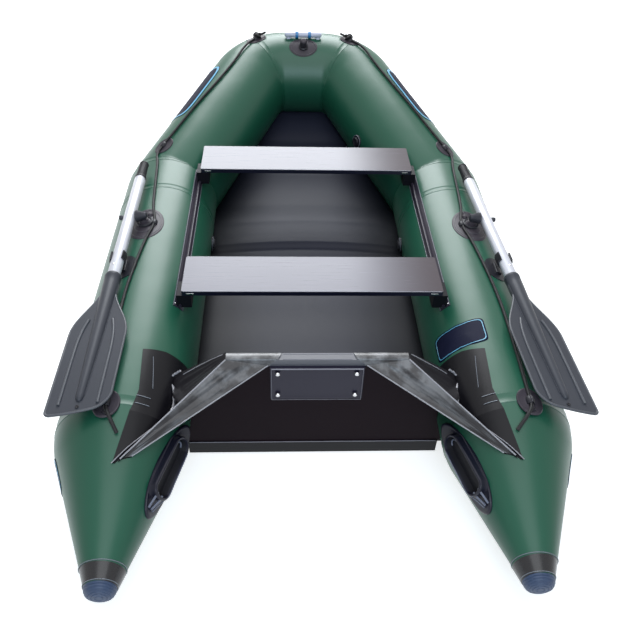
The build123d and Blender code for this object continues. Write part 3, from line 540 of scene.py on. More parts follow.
class MeshMaker:
    """Collects faces in the row frame and turns them into one piece."""

    def __init__(self, name: str, side: Side = Side.STARBOARD) -> None:
        self.name = name
        self.sign = side.value
        self.verts: list[Point] = []
        self.faces: list[tuple[int, ...]] = []
        self.slots: list[int] = []
        self.slot = 0

    def keep(self, points: list[Point]) -> None:
        """Stores points, on the side of the boat that is being built."""
        self.verts.extend(Vector((p.x * self.sign, p.y, p.z)) for p in points)

    def grid(self, rows: Rows, close_rows: bool = False, close_columns: bool = False) -> None:
        """Adds quads between rows of points.

        Args:
            rows: Rows with the same number of points.
            close_rows: Joins the last row to the first.
            close_columns: Joins each row's last point to its first.
        """
        base = len(self.verts)
        width = len(rows[0])
        for row in rows:
            self.keep(row)
        row_count = len(rows) if close_rows else len(rows) - 1
        column_count = width if close_columns else width - 1
        for i in range(row_count):
            below = (i + 1) % len(rows)
            for j in range(column_count):
                right = (j + 1) % width
                corners = (i * width + j, i * width + right, below * width + right, below * width + j)
                self.faces.append(tuple(base + corner for corner in corners))
                self.slots.append(self.slot)

    def slab(self, tops: Rows, lows: Rows) -> None:
        """Adds a closed slab between an upper and a lower sheet."""
        self.grid([top + low[::-1] for top, low in zip(tops, lows)], close_columns=True)
        for i in (0, -1):
            self.grid([tops[i], lows[i]])

    def line(self, start: Point, end: Point, radius: float, count: int) -> None:
        """Adds a straight thin line of count points."""
        self.tube(even_points([start, end], count), radius)

    def cap(self, ring: list[Point], flip: bool = False) -> None:
        """Closes a ring of points with one face."""
        base = len(self.verts)
        self.keep(ring)
        order = range(len(ring))
        self.faces.append(tuple(base + i for i in (reversed(order) if flip else order)))
        self.slots.append(self.slot)

    def lathe(self, place: Matrix, profile: list[tuple[float, float]], sides: int = 40) -> None:
        """Turns a profile of (radius, height) about a frame's z axis.

        Args:
            place: Frame of the turned piece.
            profile: Radius and height pairs.
            sides: Points round the axis.
        """
        rows = [[place @ Vector((radius * math.cos(turn), radius * math.sin(turn), height))
                 for turn in turns(sides)] for radius, height in profile]
        self.grid(rows, close_columns=True)

    def tube(self, path: list[Point], radius: float, sides: int = 8, strands: int = 0,
             lay: float = 0.02, ends: bool = True) -> None:
        """Round tube along a path, twisted into strands if asked.

        Args:
            path: Points along the middle.
            radius: Outer radius.
            sides: Points round the section.
            strands: How many strands show in the section, or 0 for a plain round.
            lay: Length of one full twist.
            ends: Whether the ends are closed.
        """
        rows = []
        travelled = 0.0
        normal = None
        for i, here in enumerate(path):
            before = path[max(i - 1, 0)]
            after = path[min(i + 1, len(path) - 1)]
            direction = (after - before).normalized()
            if normal is None:
                normal = direction.orthogonal().normalized()
            normal = (normal - direction * normal.dot(direction)).normalized()
            other = direction.cross(normal)
            travelled += (here - before).length
            twist = 2 * math.pi * travelled / lay
            ring = []
            for turn in turns(sides):
                reach = radius
                if strands:
                    reach *= 0.9 + 0.1 * abs(math.cos((turn * strands + twist) / 2))
                ring.append(here + (normal * math.cos(turn) + other * math.sin(turn)) * reach)
            rows.append(ring)
        self.grid(rows, close_columns=True)
        if ends:
            self.cap(rows[0], flip=True)
            self.cap(rows[-1])

    def block(self, place: Matrix, size: Point, round_by: float = 0.0) -> None:
        """Box with softened edges, centred in x and y and standing on the frame's plane.

        Args:
            place: Frame of the block.
            size: Length, width and height.
            round_by: Size of the softened edge.
        """
        x, y, z = size[0] / 2, size[1] / 2, size[2]
        edge = min(round_by, x * 0.9, y * 0.9, z * 0.45)
        layers = [(0.0, edge * 0.3), (edge, 0.0), (z - edge, 0.0), (z - edge * 0.3, edge * 0.3), (z, edge)]
        rows = []
        for height, inset in layers:
            ring = []
            reach = max(edge - inset, 0.0002)
            for quarter, (sx, sy) in enumerate(((1, 1), (-1, 1), (-1, -1), (1, -1))):
                for step in range(5):
                    turn = math.radians(90 * quarter + 22.5 * step)
                    px = sx * (x - edge) + reach * math.cos(turn)
                    py = sy * (y - edge) + reach * math.sin(turn)
                    ring.append(place @ Vector((px, py, height)))
            rows.append(ring)
        self.grid(rows, close_columns=True)
        self.cap(rows[0], flip=True)
        self.cap(rows[-1])

    def finish(self, materials: list[str], body: str = "hull", slot: str | None = None,
               smooth: float | None = 40.0) -> Piece:
        """Makes the object, dresses it and lets it ride.

        Args:
            materials: Palette names, in slot order.
            body: CAD body it rides on.
            slot: Record slot that the finish belongs to; not used.
            smooth: Largest angle that is shaded smooth, in degrees, or None for flat.

        Returns:
            The new object.
        """
        mesh = bpy.data.meshes.new(self.name)
        mesh.from_pydata([tuple(v) for v in self.verts], [], self.faces)
        for name in materials:
            mesh.materials.append(PALETTE[name])
        mesh.polygons.foreach_set("material_index", self.slots)
        shape = bmesh.new()
        shape.from_mesh(mesh)
        bmesh.ops.remove_doubles(shape, verts=shape.verts, dist=1e-6)
        bmesh.ops.recalc_face_normals(shape, faces=shape.faces)
        shape.to_mesh(mesh)
        shape.free()
        made = bpy.data.objects.new(self.name, mesh)
        bpy.context.scene.collection.objects.link(made)
        if smooth is not None:
            mesh.shade_smooth()
            mesh.set_sharp_from_angle(angle=math.radians(smooth))
        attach(made, body)
        return made


def curve_points(points: list[Point], count: int) -> list[Point]:
    """Even points along a smooth spline whose control points are given.

    Args:
        points: Control points.
        count: How many points to return.

    Returns:
        Points along the spline, evenly spaced by length.
    """
    data = bpy.data.curves.new("route", "CURVE")
    data.dimensions = "3D"
    data.resolution_u = 24
    spline = data.splines.new("NURBS")
    spline.points.add(len(points) - 1)
    for knot, point in zip(spline.points, points):
        knot.co = (*point, 1)
    spline.order_u = 3
    spline.use_endpoint_u = True
    holder = bpy.data.objects.new("route", data)
    mesh = bpy.data.meshes.new_from_object(holder)
    dense = [vertex.co.copy() for vertex in mesh.vertices]
    bpy.data.objects.remove(holder)
    bpy.data.curves.remove(data)
    bpy.data.meshes.remove(mesh)
    return even_points(dense, count)


def even_points(dense: list[Point], count: int) -> list[Point]:
    """Resamples a polyline to evenly spaced points."""
    lengths = [0.0]
    for before, after in zip(dense, dense[1:]):
        lengths.append(lengths[-1] + (after - before).length)
    even = []
    i = 0
    for step in range(count):
        target = lengths[-1] * step / (count - 1)
        while i < len(dense) - 2 and lengths[i + 1] < target:
            i += 1
        span = max(lengths[i + 1] - lengths[i], 1e-9)
        even.append(dense[i].lerp(dense[i + 1], min(max((target - lengths[i]) / span, 0), 1)))
    return even


def smooth_points(points: list[Point], count: int) -> list[Point]:
    """Even points along a smooth curve that passes through the given points."""
    dense = []
    last = len(points) - 1
    for i in range(last):
        p0, p1, p2, p3 = points[max(i - 1, 0)], points[i], points[i + 1], points[min(i + 2, last)]
        for step in range(16):
            t = step / 16
            dense.append(0.5 * (2 * p1 + (p2 - p0) * t + (2 * p0 - 5 * p1 + 4 * p2 - p3) * t ** 2
                                + (3 * p1 - p0 - 3 * p2 + p3) * t ** 3))
    dense.append(points[-1])
    return even_points(dense, count)


def shell(maker: MeshMaker, rows: Rows, thickness: float) -> None:
    """Adds an open sheet of rows as a thin closed skin.

    Args:
        maker: Collector of the faces.
        rows: Rows of points of the sheet's middle.
        thickness: Thickness of the skin.
    """
    count, width = len(rows), len(rows[0])
    tops, lows = [], []
    for i in range(count):
        top, low = [], []
        for j in range(width):
            down = rows[min(i + 1, count - 1)][j] - rows[max(i - 1, 0)][j]
            over = rows[i][min(j + 1, width - 1)] - rows[i][max(j - 1, 0)]
            normal = over.cross(down).normalized() * (thickness / 2)
            top.append(rows[i][j] + normal)
            low.append(rows[i][j] - normal)
        tops.append(top)
        lows.append(low)
    maker.slab(tops, lows)


def sheet_area(rows: Rows) -> float:
    """Area of a sheet of rows."""
    total = 0.0
    for above, below in zip(rows, rows[1:]):
        for a, b, c, d in zip(above, above[1:], below[1:], below):
            total += ((b - a).cross(c - a).length + (c - a).cross(d - a).length) / 2
    return total


def oval_pad(maker: MeshMaker, run: TubeRun, along: float, angle: float, size: tuple[float, float],
             profile: list[tuple[float, float]], sides: int = 56) -> None:
    """Adds an oval pad that follows a tube's skin.

    Args:
        maker: Collector of the faces.
        run: Tube that carries the pad.
        along: Distance of the pad's middle from the run's start.
        angle: Angle of the pad's middle from the top, positive outboard.
        size: Half length along the tube and half width round it.
        profile: Shares of the size with their heights off the skin, from the middle outwards.
        sides: Points round the pad.
    """
    rows = [[run.near(along, angle, size[0] * share * math.cos(turn), size[1] * share * math.sin(turn), lift)
             for turn in turns(sides)] for share, lift in profile]
    maker.grid(rows, close_columns=True)


def pad_profile(thickness: float, rim: float = 0.0) -> list[tuple[float, float]]:
    """Profile of a closed pad with a soft edge and, if asked, a raised rim."""
    low = -0.0006
    return [(0, thickness), (0.4, thickness), (0.8, thickness), (0.86, thickness + rim),
            (0.94, thickness + rim), (0.985, thickness * 0.8), (1.0, thickness * 0.2), (1.0, low),
            (0.6, low), (0, low)]


# ---------------- transom covers
@dataclass
class TransomCover:
    """Fabric gusset from the transom's top edge down to the tube and the stern cone.

    Attributes:
        side: Side of the boat.
        reach: Length of the glued edge forward of the knuckle.
        tail: Length of the glued edge aft of the knuckle.
        lift: Height of the cloth over the skin where it is glued.
        inner_x: Where the flap on the transom's top ends.
        free_x: Where the free edge starts on the transom.
        free_drop: How far below the top that is.
        over: Height of the cloth over the transom's top strip.
        cloth: Thickness of the cloth.
        tube_edge: Shares of the reach with angles round the tube.
        cone_edge: Shares of the tail with angles round the cone.
        columns: Points along each edge.
    """

    side: Side
    reach: float = 0.184
    tail: float = 0.138
    lift: float = 0.0052
    inner_x: float = 0.104
    free_x: float = 0.143
    free_drop: float = 0.019
    over: float = 0.0018
    cloth: float = 0.0016
    tube_edge: tuple = ((1.0, -51), (0.65, -53), (0.32, -54), (0.07, -46))
    cone_edge: tuple = ((0.2, -38), (0.48, -28), (0.72, -18), (1.0, -6))
    columns: int = 90

    def edges(self) -> tuple[list[Point], list[Point], list[Point]]:
        """Glued edge, ridge and free edge, from the transom to the tail."""
        sign = self.side.value
        low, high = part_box("transom_top_strip")
        top = high.z + self.over
        tube, cone = HULL.side_tube(self.side), HULL.cone(self.side)

        def on_cone(share: float, angle: float, lift: float) -> Point:
            return cone.point(cone.length - share * self.tail, angle, lift)

        glued = [Vector((sign * high.x, high.y + 0.0012, top))]
        glued += [tube.point(share * self.reach, angle, self.lift) for share, angle in self.tube_edge]
        glued += [on_cone(share, angle, self.lift) for share, angle in self.cone_edge]
        crown, end = Vector((sign * high.x, low.y - 0.0012, top)), on_cone(0.93, -14, self.lift + 0.005)
        ridge = [crown, crown.lerp(end, 0.5), end]
        free = [Vector((sign * self.free_x, low.y - 0.004, high.z - self.free_drop)),
                on_cone(0.84, -25, self.lift + 0.001)]
        return (smooth_points(glued, self.columns), even_points(ridge, self.columns),
                even_points(free, self.columns))

    def crease(self, along: float, across: float) -> float:
        """Height of the cloth's wrinkles at a place on one panel.

        Args:
            along: 0 at the transom, 1 at the tail.
            across: 0 and 1 at the panel's two edges.

        Returns:
            Height in metres.
        """
        held = math.sin(math.pi * across) ** 0.6 * min(1.0, along * 10, (1 - along) * 6)
        slow = noise.noise(Vector((along * 3.1, across * 2.2 + 5 * self.side.value, 0.3)))
        folds = noise.noise(Vector((along * 4.5 + across * 2.0, across * 8.5, 2.7 * self.side.value)))
        fine = noise.noise(Vector((along * 17 + 3, across * 15, 1.1)))
        return held * (0.006 * slow + 0.0036 * folds * (1.25 - along) + 0.0006 * fine * (1 - along))

    def panel(self, first: list[Point], second: list[Point], rows: int, sag: float) -> Rows:
        """Cloth between two edges, with its sag and wrinkles.

        Args:
            first: Points of the first edge.
            second: As many points of the second edge.
            rows: Rows of points from edge to edge.
            sag: How far the middle hangs.

        Returns:
            Rows of points of the cloth's middle.
        """
        sheet = []
        for i in range(rows):
            across = i / (rows - 1)
            row = []
            for j, (a, b) in enumerate(zip(first, second)):
                along = j / (len(first) - 1)
                before, after = max(j - 1, 0), min(j + 1, len(first) - 1)
                normal = (first[after] - first[before]).cross(b - a)
                normal = normal.normalized() * (1 if normal.z > 0 else -1)
                hang = sag * math.sin(math.pi * across) * min(1, 3 * along)
                height = self.crease(along, across) - hang
                row.append(a.lerp(b, across) + normal * height)
            sheet.append(row)
        return sheet

    def flap(self) -> Rows:
        """Cloth folded over the transom's top strip, cut to a point."""
        sign = self.side.value
        low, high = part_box("transom_top_strip")
        over, gap = self.over, 0.0014
        section = [
            (high.y + gap, high.z - 0.012, self.inner_x + 0.006),
            (high.y + gap, high.z - 0.001, self.inner_x), (high.y - 0.002, high.z + over, self.inner_x),
            ((high.y + low.y) / 2, high.z + over + 0.0008, self.inner_x + 0.004),
            (low.y + 0.002, high.z + over, self.inner_x + 0.01),
            (low.y - gap, high.z - 0.002, self.inner_x + 0.018),
            (low.y - gap - 0.002, high.z - self.free_drop, self.free_x),
        ]
        rows = []
        for y, z, end_x in section:
            row = []
            for i in range(40):
                share = i / 39
                x = high.x + (end_x - high.x) * share
                ripple = 0.0012 * noise.noise(Vector((x * 38, y * 60, z * 50))) * share
                row.append(Vector((sign * x, y - abs(ripple), z + abs(ripple))))
            rows.append(row)
        return rows

    def build(self) -> Piece:
        """Makes the cloth with its welded edges, whose raised piping is pale as a painted highlight."""
        maker = MeshMaker(f"cover_{self.side.word}")
        glued, ridge, free = self.edges()
        front, outer = self.panel(glued, ridge, 26, 0.01), self.panel(ridge, free, 22, 0.004)
        flap = self.flap()
        area = sheet_area(front) + sheet_area(outer) + sheet_area(flap)
        shell(maker, outer, self.cloth)
        shell(maker, flap, self.cloth)
        maker.slot = 2
        shell(maker, front, self.cloth)
        # Painted highlight: pale piping along the ridge, the free edge, the hem and the glued edge.
        maker.slot = 1
        hem = [row[int(0.14 * len(front))] for row in zip(*front)][2:28]
        for line, rise, thick, sides in ((ridge, 0.0008, 0.0022, 10), (free, 0.0004, 0.0019, 10),
                                         (hem, 0.001, 0.0014, 8)):
            maker.tube([p + Vector((0, 0, rise)) for p in line], thick, sides=sides)
        first, last = int(0.3 * len(glued)), int(0.6 * len(glued))
        axis = HULL.side_tube(self.side).start
        edge = []
        for p in even_points(glued[first:last], 90):
            radial = Vector((p.x - axis.x, 0, p.z - axis.z)).normalized()
            outboard = self.side.value * Vector((radial.z, 0, -radial.x))
            wave = 0.0026 * noise.noise(p * 130)
            edge.append(p + radial * 0.003 + outboard * (0.007 + wave))
        maker.tube(edge, 0.0034)
        rest = [p + (p - axis).normalized() * 0.004 for p in glued[last - 1:]]
        maker.tube(rest, 0.0014)
        piece = maker.finish(["cover_black", "cover_piping", "cover_matte"], slot="cover_fabric")
        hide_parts(f"transom_cover_{self.side.word}")
        return piece


# ---------------- carry handles
@dataclass
class CarryHandle:
    """Moulded handle on the stern cone: oval base, raised loop and deep finger slot.

    Attributes:
        side: Side of the boat.
        along: Distance aft of the knuckle.
        angle: Angle round the cone.
        base: Half length and half width of the base.
        slot_half: Half length of the slot's straight part.
        slot_radius: Half width of the slot.
        height: Height of the loop.
        fall_from: Distance from the middle where the loop starts to fall.
        shift: How far outboard of the base's middle the loop lies.
    """

    side: Side
    along: float = 0.098
    angle: float = -75
    base: tuple[float, float] = (0.14, 0.056)
    slot_half: float = 0.06
    slot_radius: float = 0.023
    height: float = 0.027
    fall_from: float = 0.085
    shift: float = 0.014

    def place(self, u: float, v: float, lift: float) -> Point:
        """Point at u along the cone, v round it and lift off its skin."""
        cone = HULL.cone(self.side)
        return cone.near(cone.length - self.along + u, self.angle, 0.0, v, lift)

    def ring(self, distance: float, lift: float, sides: int = 72) -> list[Point]:
        """Ring of points round the slot at a distance from its middle line."""
        points = []
        for turn in turns(sides):
            centre = self.slot_half if math.cos(turn) > 0 else -self.slot_half
            u = centre * min(1, abs(math.cos(turn)) * 6) + distance * math.cos(turn)
            past = abs(u) - self.fall_from
            fall = min(1.0, past / 0.022) * 0.45 if past > 0 and lift > 0.006 else 0.0
            v = distance * math.sin(turn) + self.shift
            points.append(self.place(u, v, lift * (1 - fall)))
        return points

    def base_ring(self, share: float, lift: float, sides: int = 72) -> list[Point]:
        """Oval ring of the base."""
        length, width = self.base[0] * share, self.base[1] * share
        return [self.place(length * math.cos(turn), width * math.sin(turn), lift) for turn in turns(sides)]

    def build(self) -> Piece:
        """Makes the handle."""
        maker = MeshMaker(f"handle_{self.side.word}")
        r, h = self.slot_radius, self.height
        loop = [(0.002, 0.0048), (r - 0.001, 0.0048), (r, 0.008), (r + 0.0004, h - 0.006),
                (r + 0.0016, h - 0.0012), (r + 0.0036, h), (r + 0.006, h), (r + 0.0082, h - 0.002),
                (r + 0.0092, h - 0.007), (r + 0.01, 0.012), (r + 0.0122, 0.0072), (r + 0.015, 0.006)]
        rows = [self.ring(distance, lift) for distance, lift in loop]
        rows += [self.base_ring(share, lift) for share, lift in
                 ((0.9, 0.0052), (0.93, 0.0062), (0.965, 0.0062), (0.99, 0.0042), (1.0, 0.0012),
                  (1.0, -0.0006))]
        maker.grid(rows[3:], close_columns=True)
        maker.slot = 2
        maker.grid(rows[:4], close_columns=True)
        maker.cap(rows[0])
        # Painted highlight: the bars, the arch and the crest take the paler handle_shine finish.
        maker.slot = 1
        for v in (-0.01, 0.01):
            bar = [self.place(u, v * spread + self.shift, lift) for u, spread, lift in
                   ((-0.078, 1.0, 0.02), (-0.092, 0.95, 0.0175), (-0.106, 0.8, 0.0125),
                    (-0.12, 0.6, 0.008))]
            maker.tube(smooth_points(bar, 14), 0.0034, sides=10)
        arch = [self.place(0.066 + 0.012 * math.cos(turn), 0.011 * math.sin(turn) + self.shift, 0.0085)
                for turn in map(math.radians, range(-80, 81, 10))]
        maker.tube(arch, 0.0024)
        bar = -0.0048 - r
        crest = [self.place(u, v + self.shift, lift) for u, v, lift in
                 ((0.062, bar, h), (0.03, bar, h + 0.0004), (-0.03, bar, h + 0.0004), (-0.066, bar, h),
                  (-0.088, 0.85 * bar, 0.62 * h), (-0.104, 0.7 * bar, 0.45 * h), (-0.122, 0.5 * bar, 0.0085))]
        maker.tube(smooth_points(crest, 40), 0.0018)
        piece = maker.finish(["handle_navy", "handle_shine", "grip_black"], slot="moulded_pvc")
        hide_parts(f"carry_handle_{self.side.word}")
        return piece


# ---------------- inflated tubes
class TubeSkin:
    """Skin of the starboard half of the hull tube, from the cone's small end to the middle of the bow.

    Attributes:
        reaches: Half length of the eased turn at each corner of the route.
        sides: Points round the skin.
        fine_step: Distance between rings beside a seam.
        coarse_step: Distance between the other rings.
        stern_seam: Distance of the stern seam forward of the knuckle.
        bow_seam: Distance of the forward seam from the knuckle.
    """

    reaches = (0.0, 0.045, 0.05, 0.057, 0.057, 0.0)
    sides = 128
    fine_step = 0.006
    coarse_step = 0.03
    stern_seam = 0.038
    bow_seam = 1.143

    def __init__(self) -> None:
        middle = Vector((0, GORE.end.y, GORE.end.z))
        self.corners = [CONE.start, TUBE.start, TUBE.end, GORE.start, GORE.end, middle]
        self.marks = [0.0]
        for before, after in zip(self.corners, self.corners[1:]):
            self.marks.append(self.marks[-1] + (after - before).length)
        self.knuckle, self.bend, self.gore_start, self.gore_end, self.middle = self.marks[1:]
        self.gore_middle = (self.gore_start + self.gore_end) / 2
        self.seams = {self.knuckle + self.stern_seam: 0.0004, self.knuckle + self.bow_seam: 0.0004,
                      self.bend: 0.0012, self.gore_middle: 0.0012}

    def direction(self, leg: int) -> Point:
        """Direction of one leg of the route."""
        return (self.corners[leg + 1] - self.corners[leg]).normalized()

    def nearest(self, at: float) -> int:
        """Corner nearest to a distance along the route, among those it turns at."""
        return min(range(1, len(self.marks) - 1), key=lambda i: abs(self.marks[i] - at))

    def station(self, at: float) -> tuple[Point, Point, float]:
        """Centre, direction and radius at a distance along the route."""
        corner = self.nearest(at)
        offset, reach = at - self.marks[corner], self.reaches[corner]
        into, out = self.direction(corner - 1), self.direction(corner)
        place = self.corners[corner]
        if abs(offset) < reach:
            share = (offset + reach) / (2 * reach)
            centre = place - into * reach * (1 - share) ** 2 + out * reach * share ** 2
            heading = into.lerp(out, share).normalized()
        else:
            heading = into if offset < 0 else out
            centre = place + heading * offset
        return centre, heading, self.radius(at)

    def radius(self, at: float) -> float:
        """Radius of the skin, eased over the knuckle and the bend."""
        full, bow, small = HULL.radius, HULL.bow_radius, HULL.cap_radius
        slope = (full - small) / self.knuckle
        reach = self.reaches[1]
        if at < self.knuckle - reach:
            return small + slope * at
        if at < self.knuckle + reach:
            share = (at - self.knuckle + reach) / (2 * reach)
            return full - slope * reach * (1 - share) ** 2
        share = min(max((at - self.bend + 0.05) / 0.1, 0), 1)
        return full + (bow - full) * share * share * (3 - 2 * share)

    def pucker(self, at: float, turn: float) -> float:
        """Small gathers of the fabric beside the seams."""
        height = 0.0
        for seam, depth in self.seams.items():
            near = math.exp(-((at - seam) / 0.026) ** 2)
            if near > 0.01:
                where = Vector((math.sin(turn) * 7, math.cos(turn) * 7, seam * 9))
                height += near * depth * (noise.noise(where) + 0.6 * noise.noise(where * 2.3))
        return height

    def point(self, at: float, angle: float, lift: float = 0.0) -> Point:
        """Point on or off the skin.

        Args:
            at: Distance along the route.
            angle: Degrees from the top, positive outboard.
            lift: Distance off the skin.

        Returns:
            The point.
        """
        centre, heading, radius = self.station(at)
        up = Vector((0, 0, 1))
        up = (up - heading * up.dot(heading)).normalized()
        turn = math.radians(angle)
        radial = up * math.cos(turn) + heading.cross(up) * math.sin(turn)
        place = centre + radial * (radius + lift + self.pucker(at, turn))
        corner = self.nearest(at)
        normal = (self.direction(corner - 1) + self.direction(corner)).normalized()
        past = (place - self.corners[corner]).dot(normal)
        offset = at - self.marks[corner]
        if abs(offset) < 0.12 and past * offset < 0:
            place -= heading * (past / heading.dot(normal))
        return place

    def ring(self, at: float, lift: float = 0.0) -> list[Point]:
        """Ring of points round the skin."""
        return [self.point(at, 360 * i / self.sides, lift) for i in range(self.sides)]

    def stations(self, start: float, end: float) -> list[float]:
        """Distances of the rings, close together beside the seams."""
        places = [start]
        while places[-1] < end - 1e-6:
            turns = (*self.seams, self.knuckle, self.gore_start, self.gore_end)
            near = min(abs(places[-1] - seam) for seam in turns)
            step = self.fine_step if near < 0.06 else self.coarse_step
            places.append(min(places[-1] + step, end))
        return places

    def build(self) -> list[Piece]:
        """Makes the two side tubes and the bow tube."""
        made = []
        rows = [self.ring(at) for at in self.stations(0, self.bend)]
        for side in Side:
            maker = MeshMaker(f"side_tube_{side.word}", side)
            maker.grid(rows, close_columns=True)
            maker.cap(rows[0], flip=True)
            maker.cap(rows[-1])
            piece = maker.finish(["tube_green"], slot="tube_fabric", smooth=60)
            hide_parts(f"tube_{side.word}")
            made.append(piece)
        half = [self.ring(at) for at in self.stations(self.bend, self.middle)]
        other = [[Vector((-p.x, p.y, p.z)) for p in row] for row in reversed(half[:-1])]
        maker = MeshMaker("bow_tube")
        maker.grid(half + other, close_columns=True)
        maker.cap(half[0], flip=True)
        maker.cap(other[-1])
        piece = maker.finish(["tube_green"], slot="tube_fabric", smooth=60)
        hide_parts("tube_bow")
        return made + [piece]


SKIN = TubeSkin()


@dataclass
class SeamTapes:
    """Welded tapes over the joints in the tube fabric, in one piece for each side.

    Attributes:
        side: Side of the boat.
        proud: How far a tape's edges stand off the skin.
    """

    side: Side
    proud: float = 0.001

    def band(self, maker: MeshMaker, at: float, width: float) -> None:
        """Adds a tape round the tube, with a raised weld along each edge."""
        half, lip = width / 2, self.proud
        table = [(-half, -0.0004), (-half + 0.0012, lip), (-half + 0.004, lip), (-half + 0.0052, 0.4 * lip),
                 (0, 0.4 * lip), (half - 0.0052, 0.4 * lip), (half - 0.004, lip), (half - 0.0012, lip),
                 (half, -0.0004)]
        maker.grid([SKIN.ring(at + offset, lift) for offset, lift in table], close_columns=True)

    def build(self) -> Piece:
        """Makes the tapes of one side."""
        maker = MeshMaker(f"seam_tapes_{self.side.word}", self.side)
        for at, width in zip(SKIN.seams, (0.036, 0.032, 0.04, 0.03)):
            self.band(maker, at, width)
        return maker.finish(["tube_green"], slot="tube_fabric")


# ---------------- floor
@dataclass
class Floor:
    """Floor cloth over its slats, with a lapped ridge across the boat.

    Attributes:
        rows: Rows along the boat.
        columns: Columns across it.
        ridge: Height of the lapped ridge.
        thickness: Thickness of the cloth.
    """

    rows: int = 150
    columns: int = 60
    ridge: float = 0.016
    thickness: float = 0.003

    def half_width(self, y: float) -> float:
        """Half the floor's width, at the tubes' axes."""
        if y <= HULL.bend_y:
            return HULL.centre_x - 0.004
        share = (y - BOW.start.y) / (BOW.end.y - BOW.start.y)
        return BOW.start.x + (BOW.end.x - BOW.start.x) * share - 0.006

    def lap(self, y: float) -> float:
        """Height of the lapped ridge and of the slow swell over the slats."""
        rise = min(max((y - 0.103) / 0.022, 0), 1)
        fall = min(max((0.302 - y) / 0.13, 0), 1)
        ease = rise * rise * (3 - 2 * rise) * fall
        return self.ridge * ease + 0.0014 * (1 + math.sin(y * 2 * math.pi / 0.29 + 0.6))

    def build(self) -> Piece:
        """Makes the floor over the frame's own floor."""
        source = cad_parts["floor_skin"]
        inverse = source.matrix_world.inverted()
        low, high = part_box("floor_skin")
        start, end = low.y + 0.002, high.y - 0.012
        rows: Rows = []
        for i in range(self.rows):
            y = start + (end - start) * i / (self.rows - 1)
            half = self.half_width(y)
            row: list[Point] = []
            for j in range(self.columns + 1):
                x = half * (2 * j / self.columns - 1)
                found, place, _, _ = source.ray_cast(inverse @ Vector((x, y, 1.0)), Vector((0, 0, -1)))
                z = (source.matrix_world @ place).z if found else (row[-1].z if row else 0.1)
                fade = max(0.0, 1 - (abs(x) / half) ** 4)
                row.append(Vector((x, y, z + self.lap(y) * fade)))
            rows.append(row)
        for row in rows:
            for j in range(self.columns // 2, -1, -1):
                row[j].z = row[self.columns - j].z = max(row[j].z, row[self.columns - j].z)
        maker = MeshMaker("floor")
        shell(maker, rows, self.thickness)
        piece = maker.finish(["floor_dark"], slot="floor_fabric")
        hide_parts("floor_skin")
        return piece


# ---------------- lifeline
@dataclass
class Lifeline:
    """Twisted rope along the tube's top, knotted at the bow.

    Attributes:
        side: Side of the boat.
        radius: Radius of the rope.
        lift: Height of its middle over the skin.
    """

    side: Side
    radius: float = 0.0054
    lift: float = 0.0066

    @property
    def bow_angles(self) -> tuple[float, float, float]:
        """Angles at three places of the raking run, from the corner aft."""
        return (4, 6, 12.5) if self.side is Side.PORT else (8.5, 10, 13.5)

    def route(self) -> list[Point]:
        """Control points of the rope's line, for the starboard side."""
        h = self.lift
        corner = GORE.point(GORE.length / 2, 6, h)
        near, mid, far = self.bow_angles
        lock, stern = HULL.along(HULL.oarlock_y), HULL.stern_eye[self.side]
        return [
            corner + Vector((-0.83, 0.47, 0.33)) * 0.055, corner + Vector((-0.5, 0.5, 0.33)) * 0.022,
            corner, BOW.point(0.93 * BOW.length, near + 1, h + 0.003),
            BOW.point(0.8 * BOW.length, near, h), BOW.point(0.63 * BOW.length, mid, h),
            BOW.point(0.4 * BOW.length, far, h), BOW.point(0.165, 14.5, h), BOW.point(0.095, 16, h),
            BOW.point(0.03, 14.5, h), TUBE.point(TUBE.length - 0.055, 11, h), TUBE.point(lock + 0.3, 8, h),
            TUBE.point(lock + 0.095, 3.5, h), TUBE.point(lock + 0.03, -1.5, h),
            TUBE.point(lock - 0.03, -1.5, h),
            TUBE.point(lock - 0.095, 3.5, h), TUBE.point(lock - 0.4, 12.5, h),
            TUBE.point(0.2, 0.5 * (12.5 + stern), h), TUBE.point(0.045, stern, h), TUBE.point(0.0, stern, h),
            TUBE.point(-0.03, stern - 5, h + 0.003), CONE.point(CONE.length - 0.062, -8, h),
        ]

    def build(self) -> Piece:
        """Makes the rope and its knot."""
        maker = MeshMaker(f"rope_{self.side.word}", self.side)
        route = self.route()
        path = curve_points(route, 1000)
        maker.tube(path, self.radius, sides=12, strands=3, lay=0.042)
        centre = route[1].lerp(route[2], 0.4)
        knot = []
        for turn in turns(96, closed=True):
            reach = 0.01 + 0.0055 * math.cos(3 * turn)
            knot.append(centre + Vector((reach * math.cos(2 * turn), reach * math.sin(2 * turn),
                                         0.0075 * math.sin(3 * turn) + 0.005)))
        maker.tube(knot, 0.0058, ends=False)
        piece = maker.finish(["rope_black"], slot="rope", smooth=60)
        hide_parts(f"lifeline_{self.side.word}")
        return piece


def bridge(maker: MeshMaker, place: Matrix, length: float = 0.026, half: float = 0.0125,
           height: float = 0.015, wall: float = 0.0032) -> None:
    """Adds an arch over the rope, along the frame's x axis.

    Args:
        maker: Collector of the faces.
        place: Frame on the skin under the arch's middle.
        length: Length along the rope.
        half: Half width of the arch.
        height: Height of its top.
        wall: Thickness of the arch.
    """
    count, sunk = 17, 0.001
    tops, lows = [], []
    for share, shrink in ((-0.5, 0.0014), (-0.45, 0.0003), (0, 0), (0.45, 0.0003), (0.5, 0.0014)):
        outer, inner = [], []
        for i in range(count):
            turn = math.pi * i / (count - 1)
            for line, less in ((outer, shrink), (inner, wall)):
                y, z = (half - less) * math.cos(turn), (height - less) * math.sin(turn)
                line.append(place @ Vector((share * length, y, z - sunk)))
        tops.append(outer)
        lows.append(inner)
    maker.slab(tops, lows)


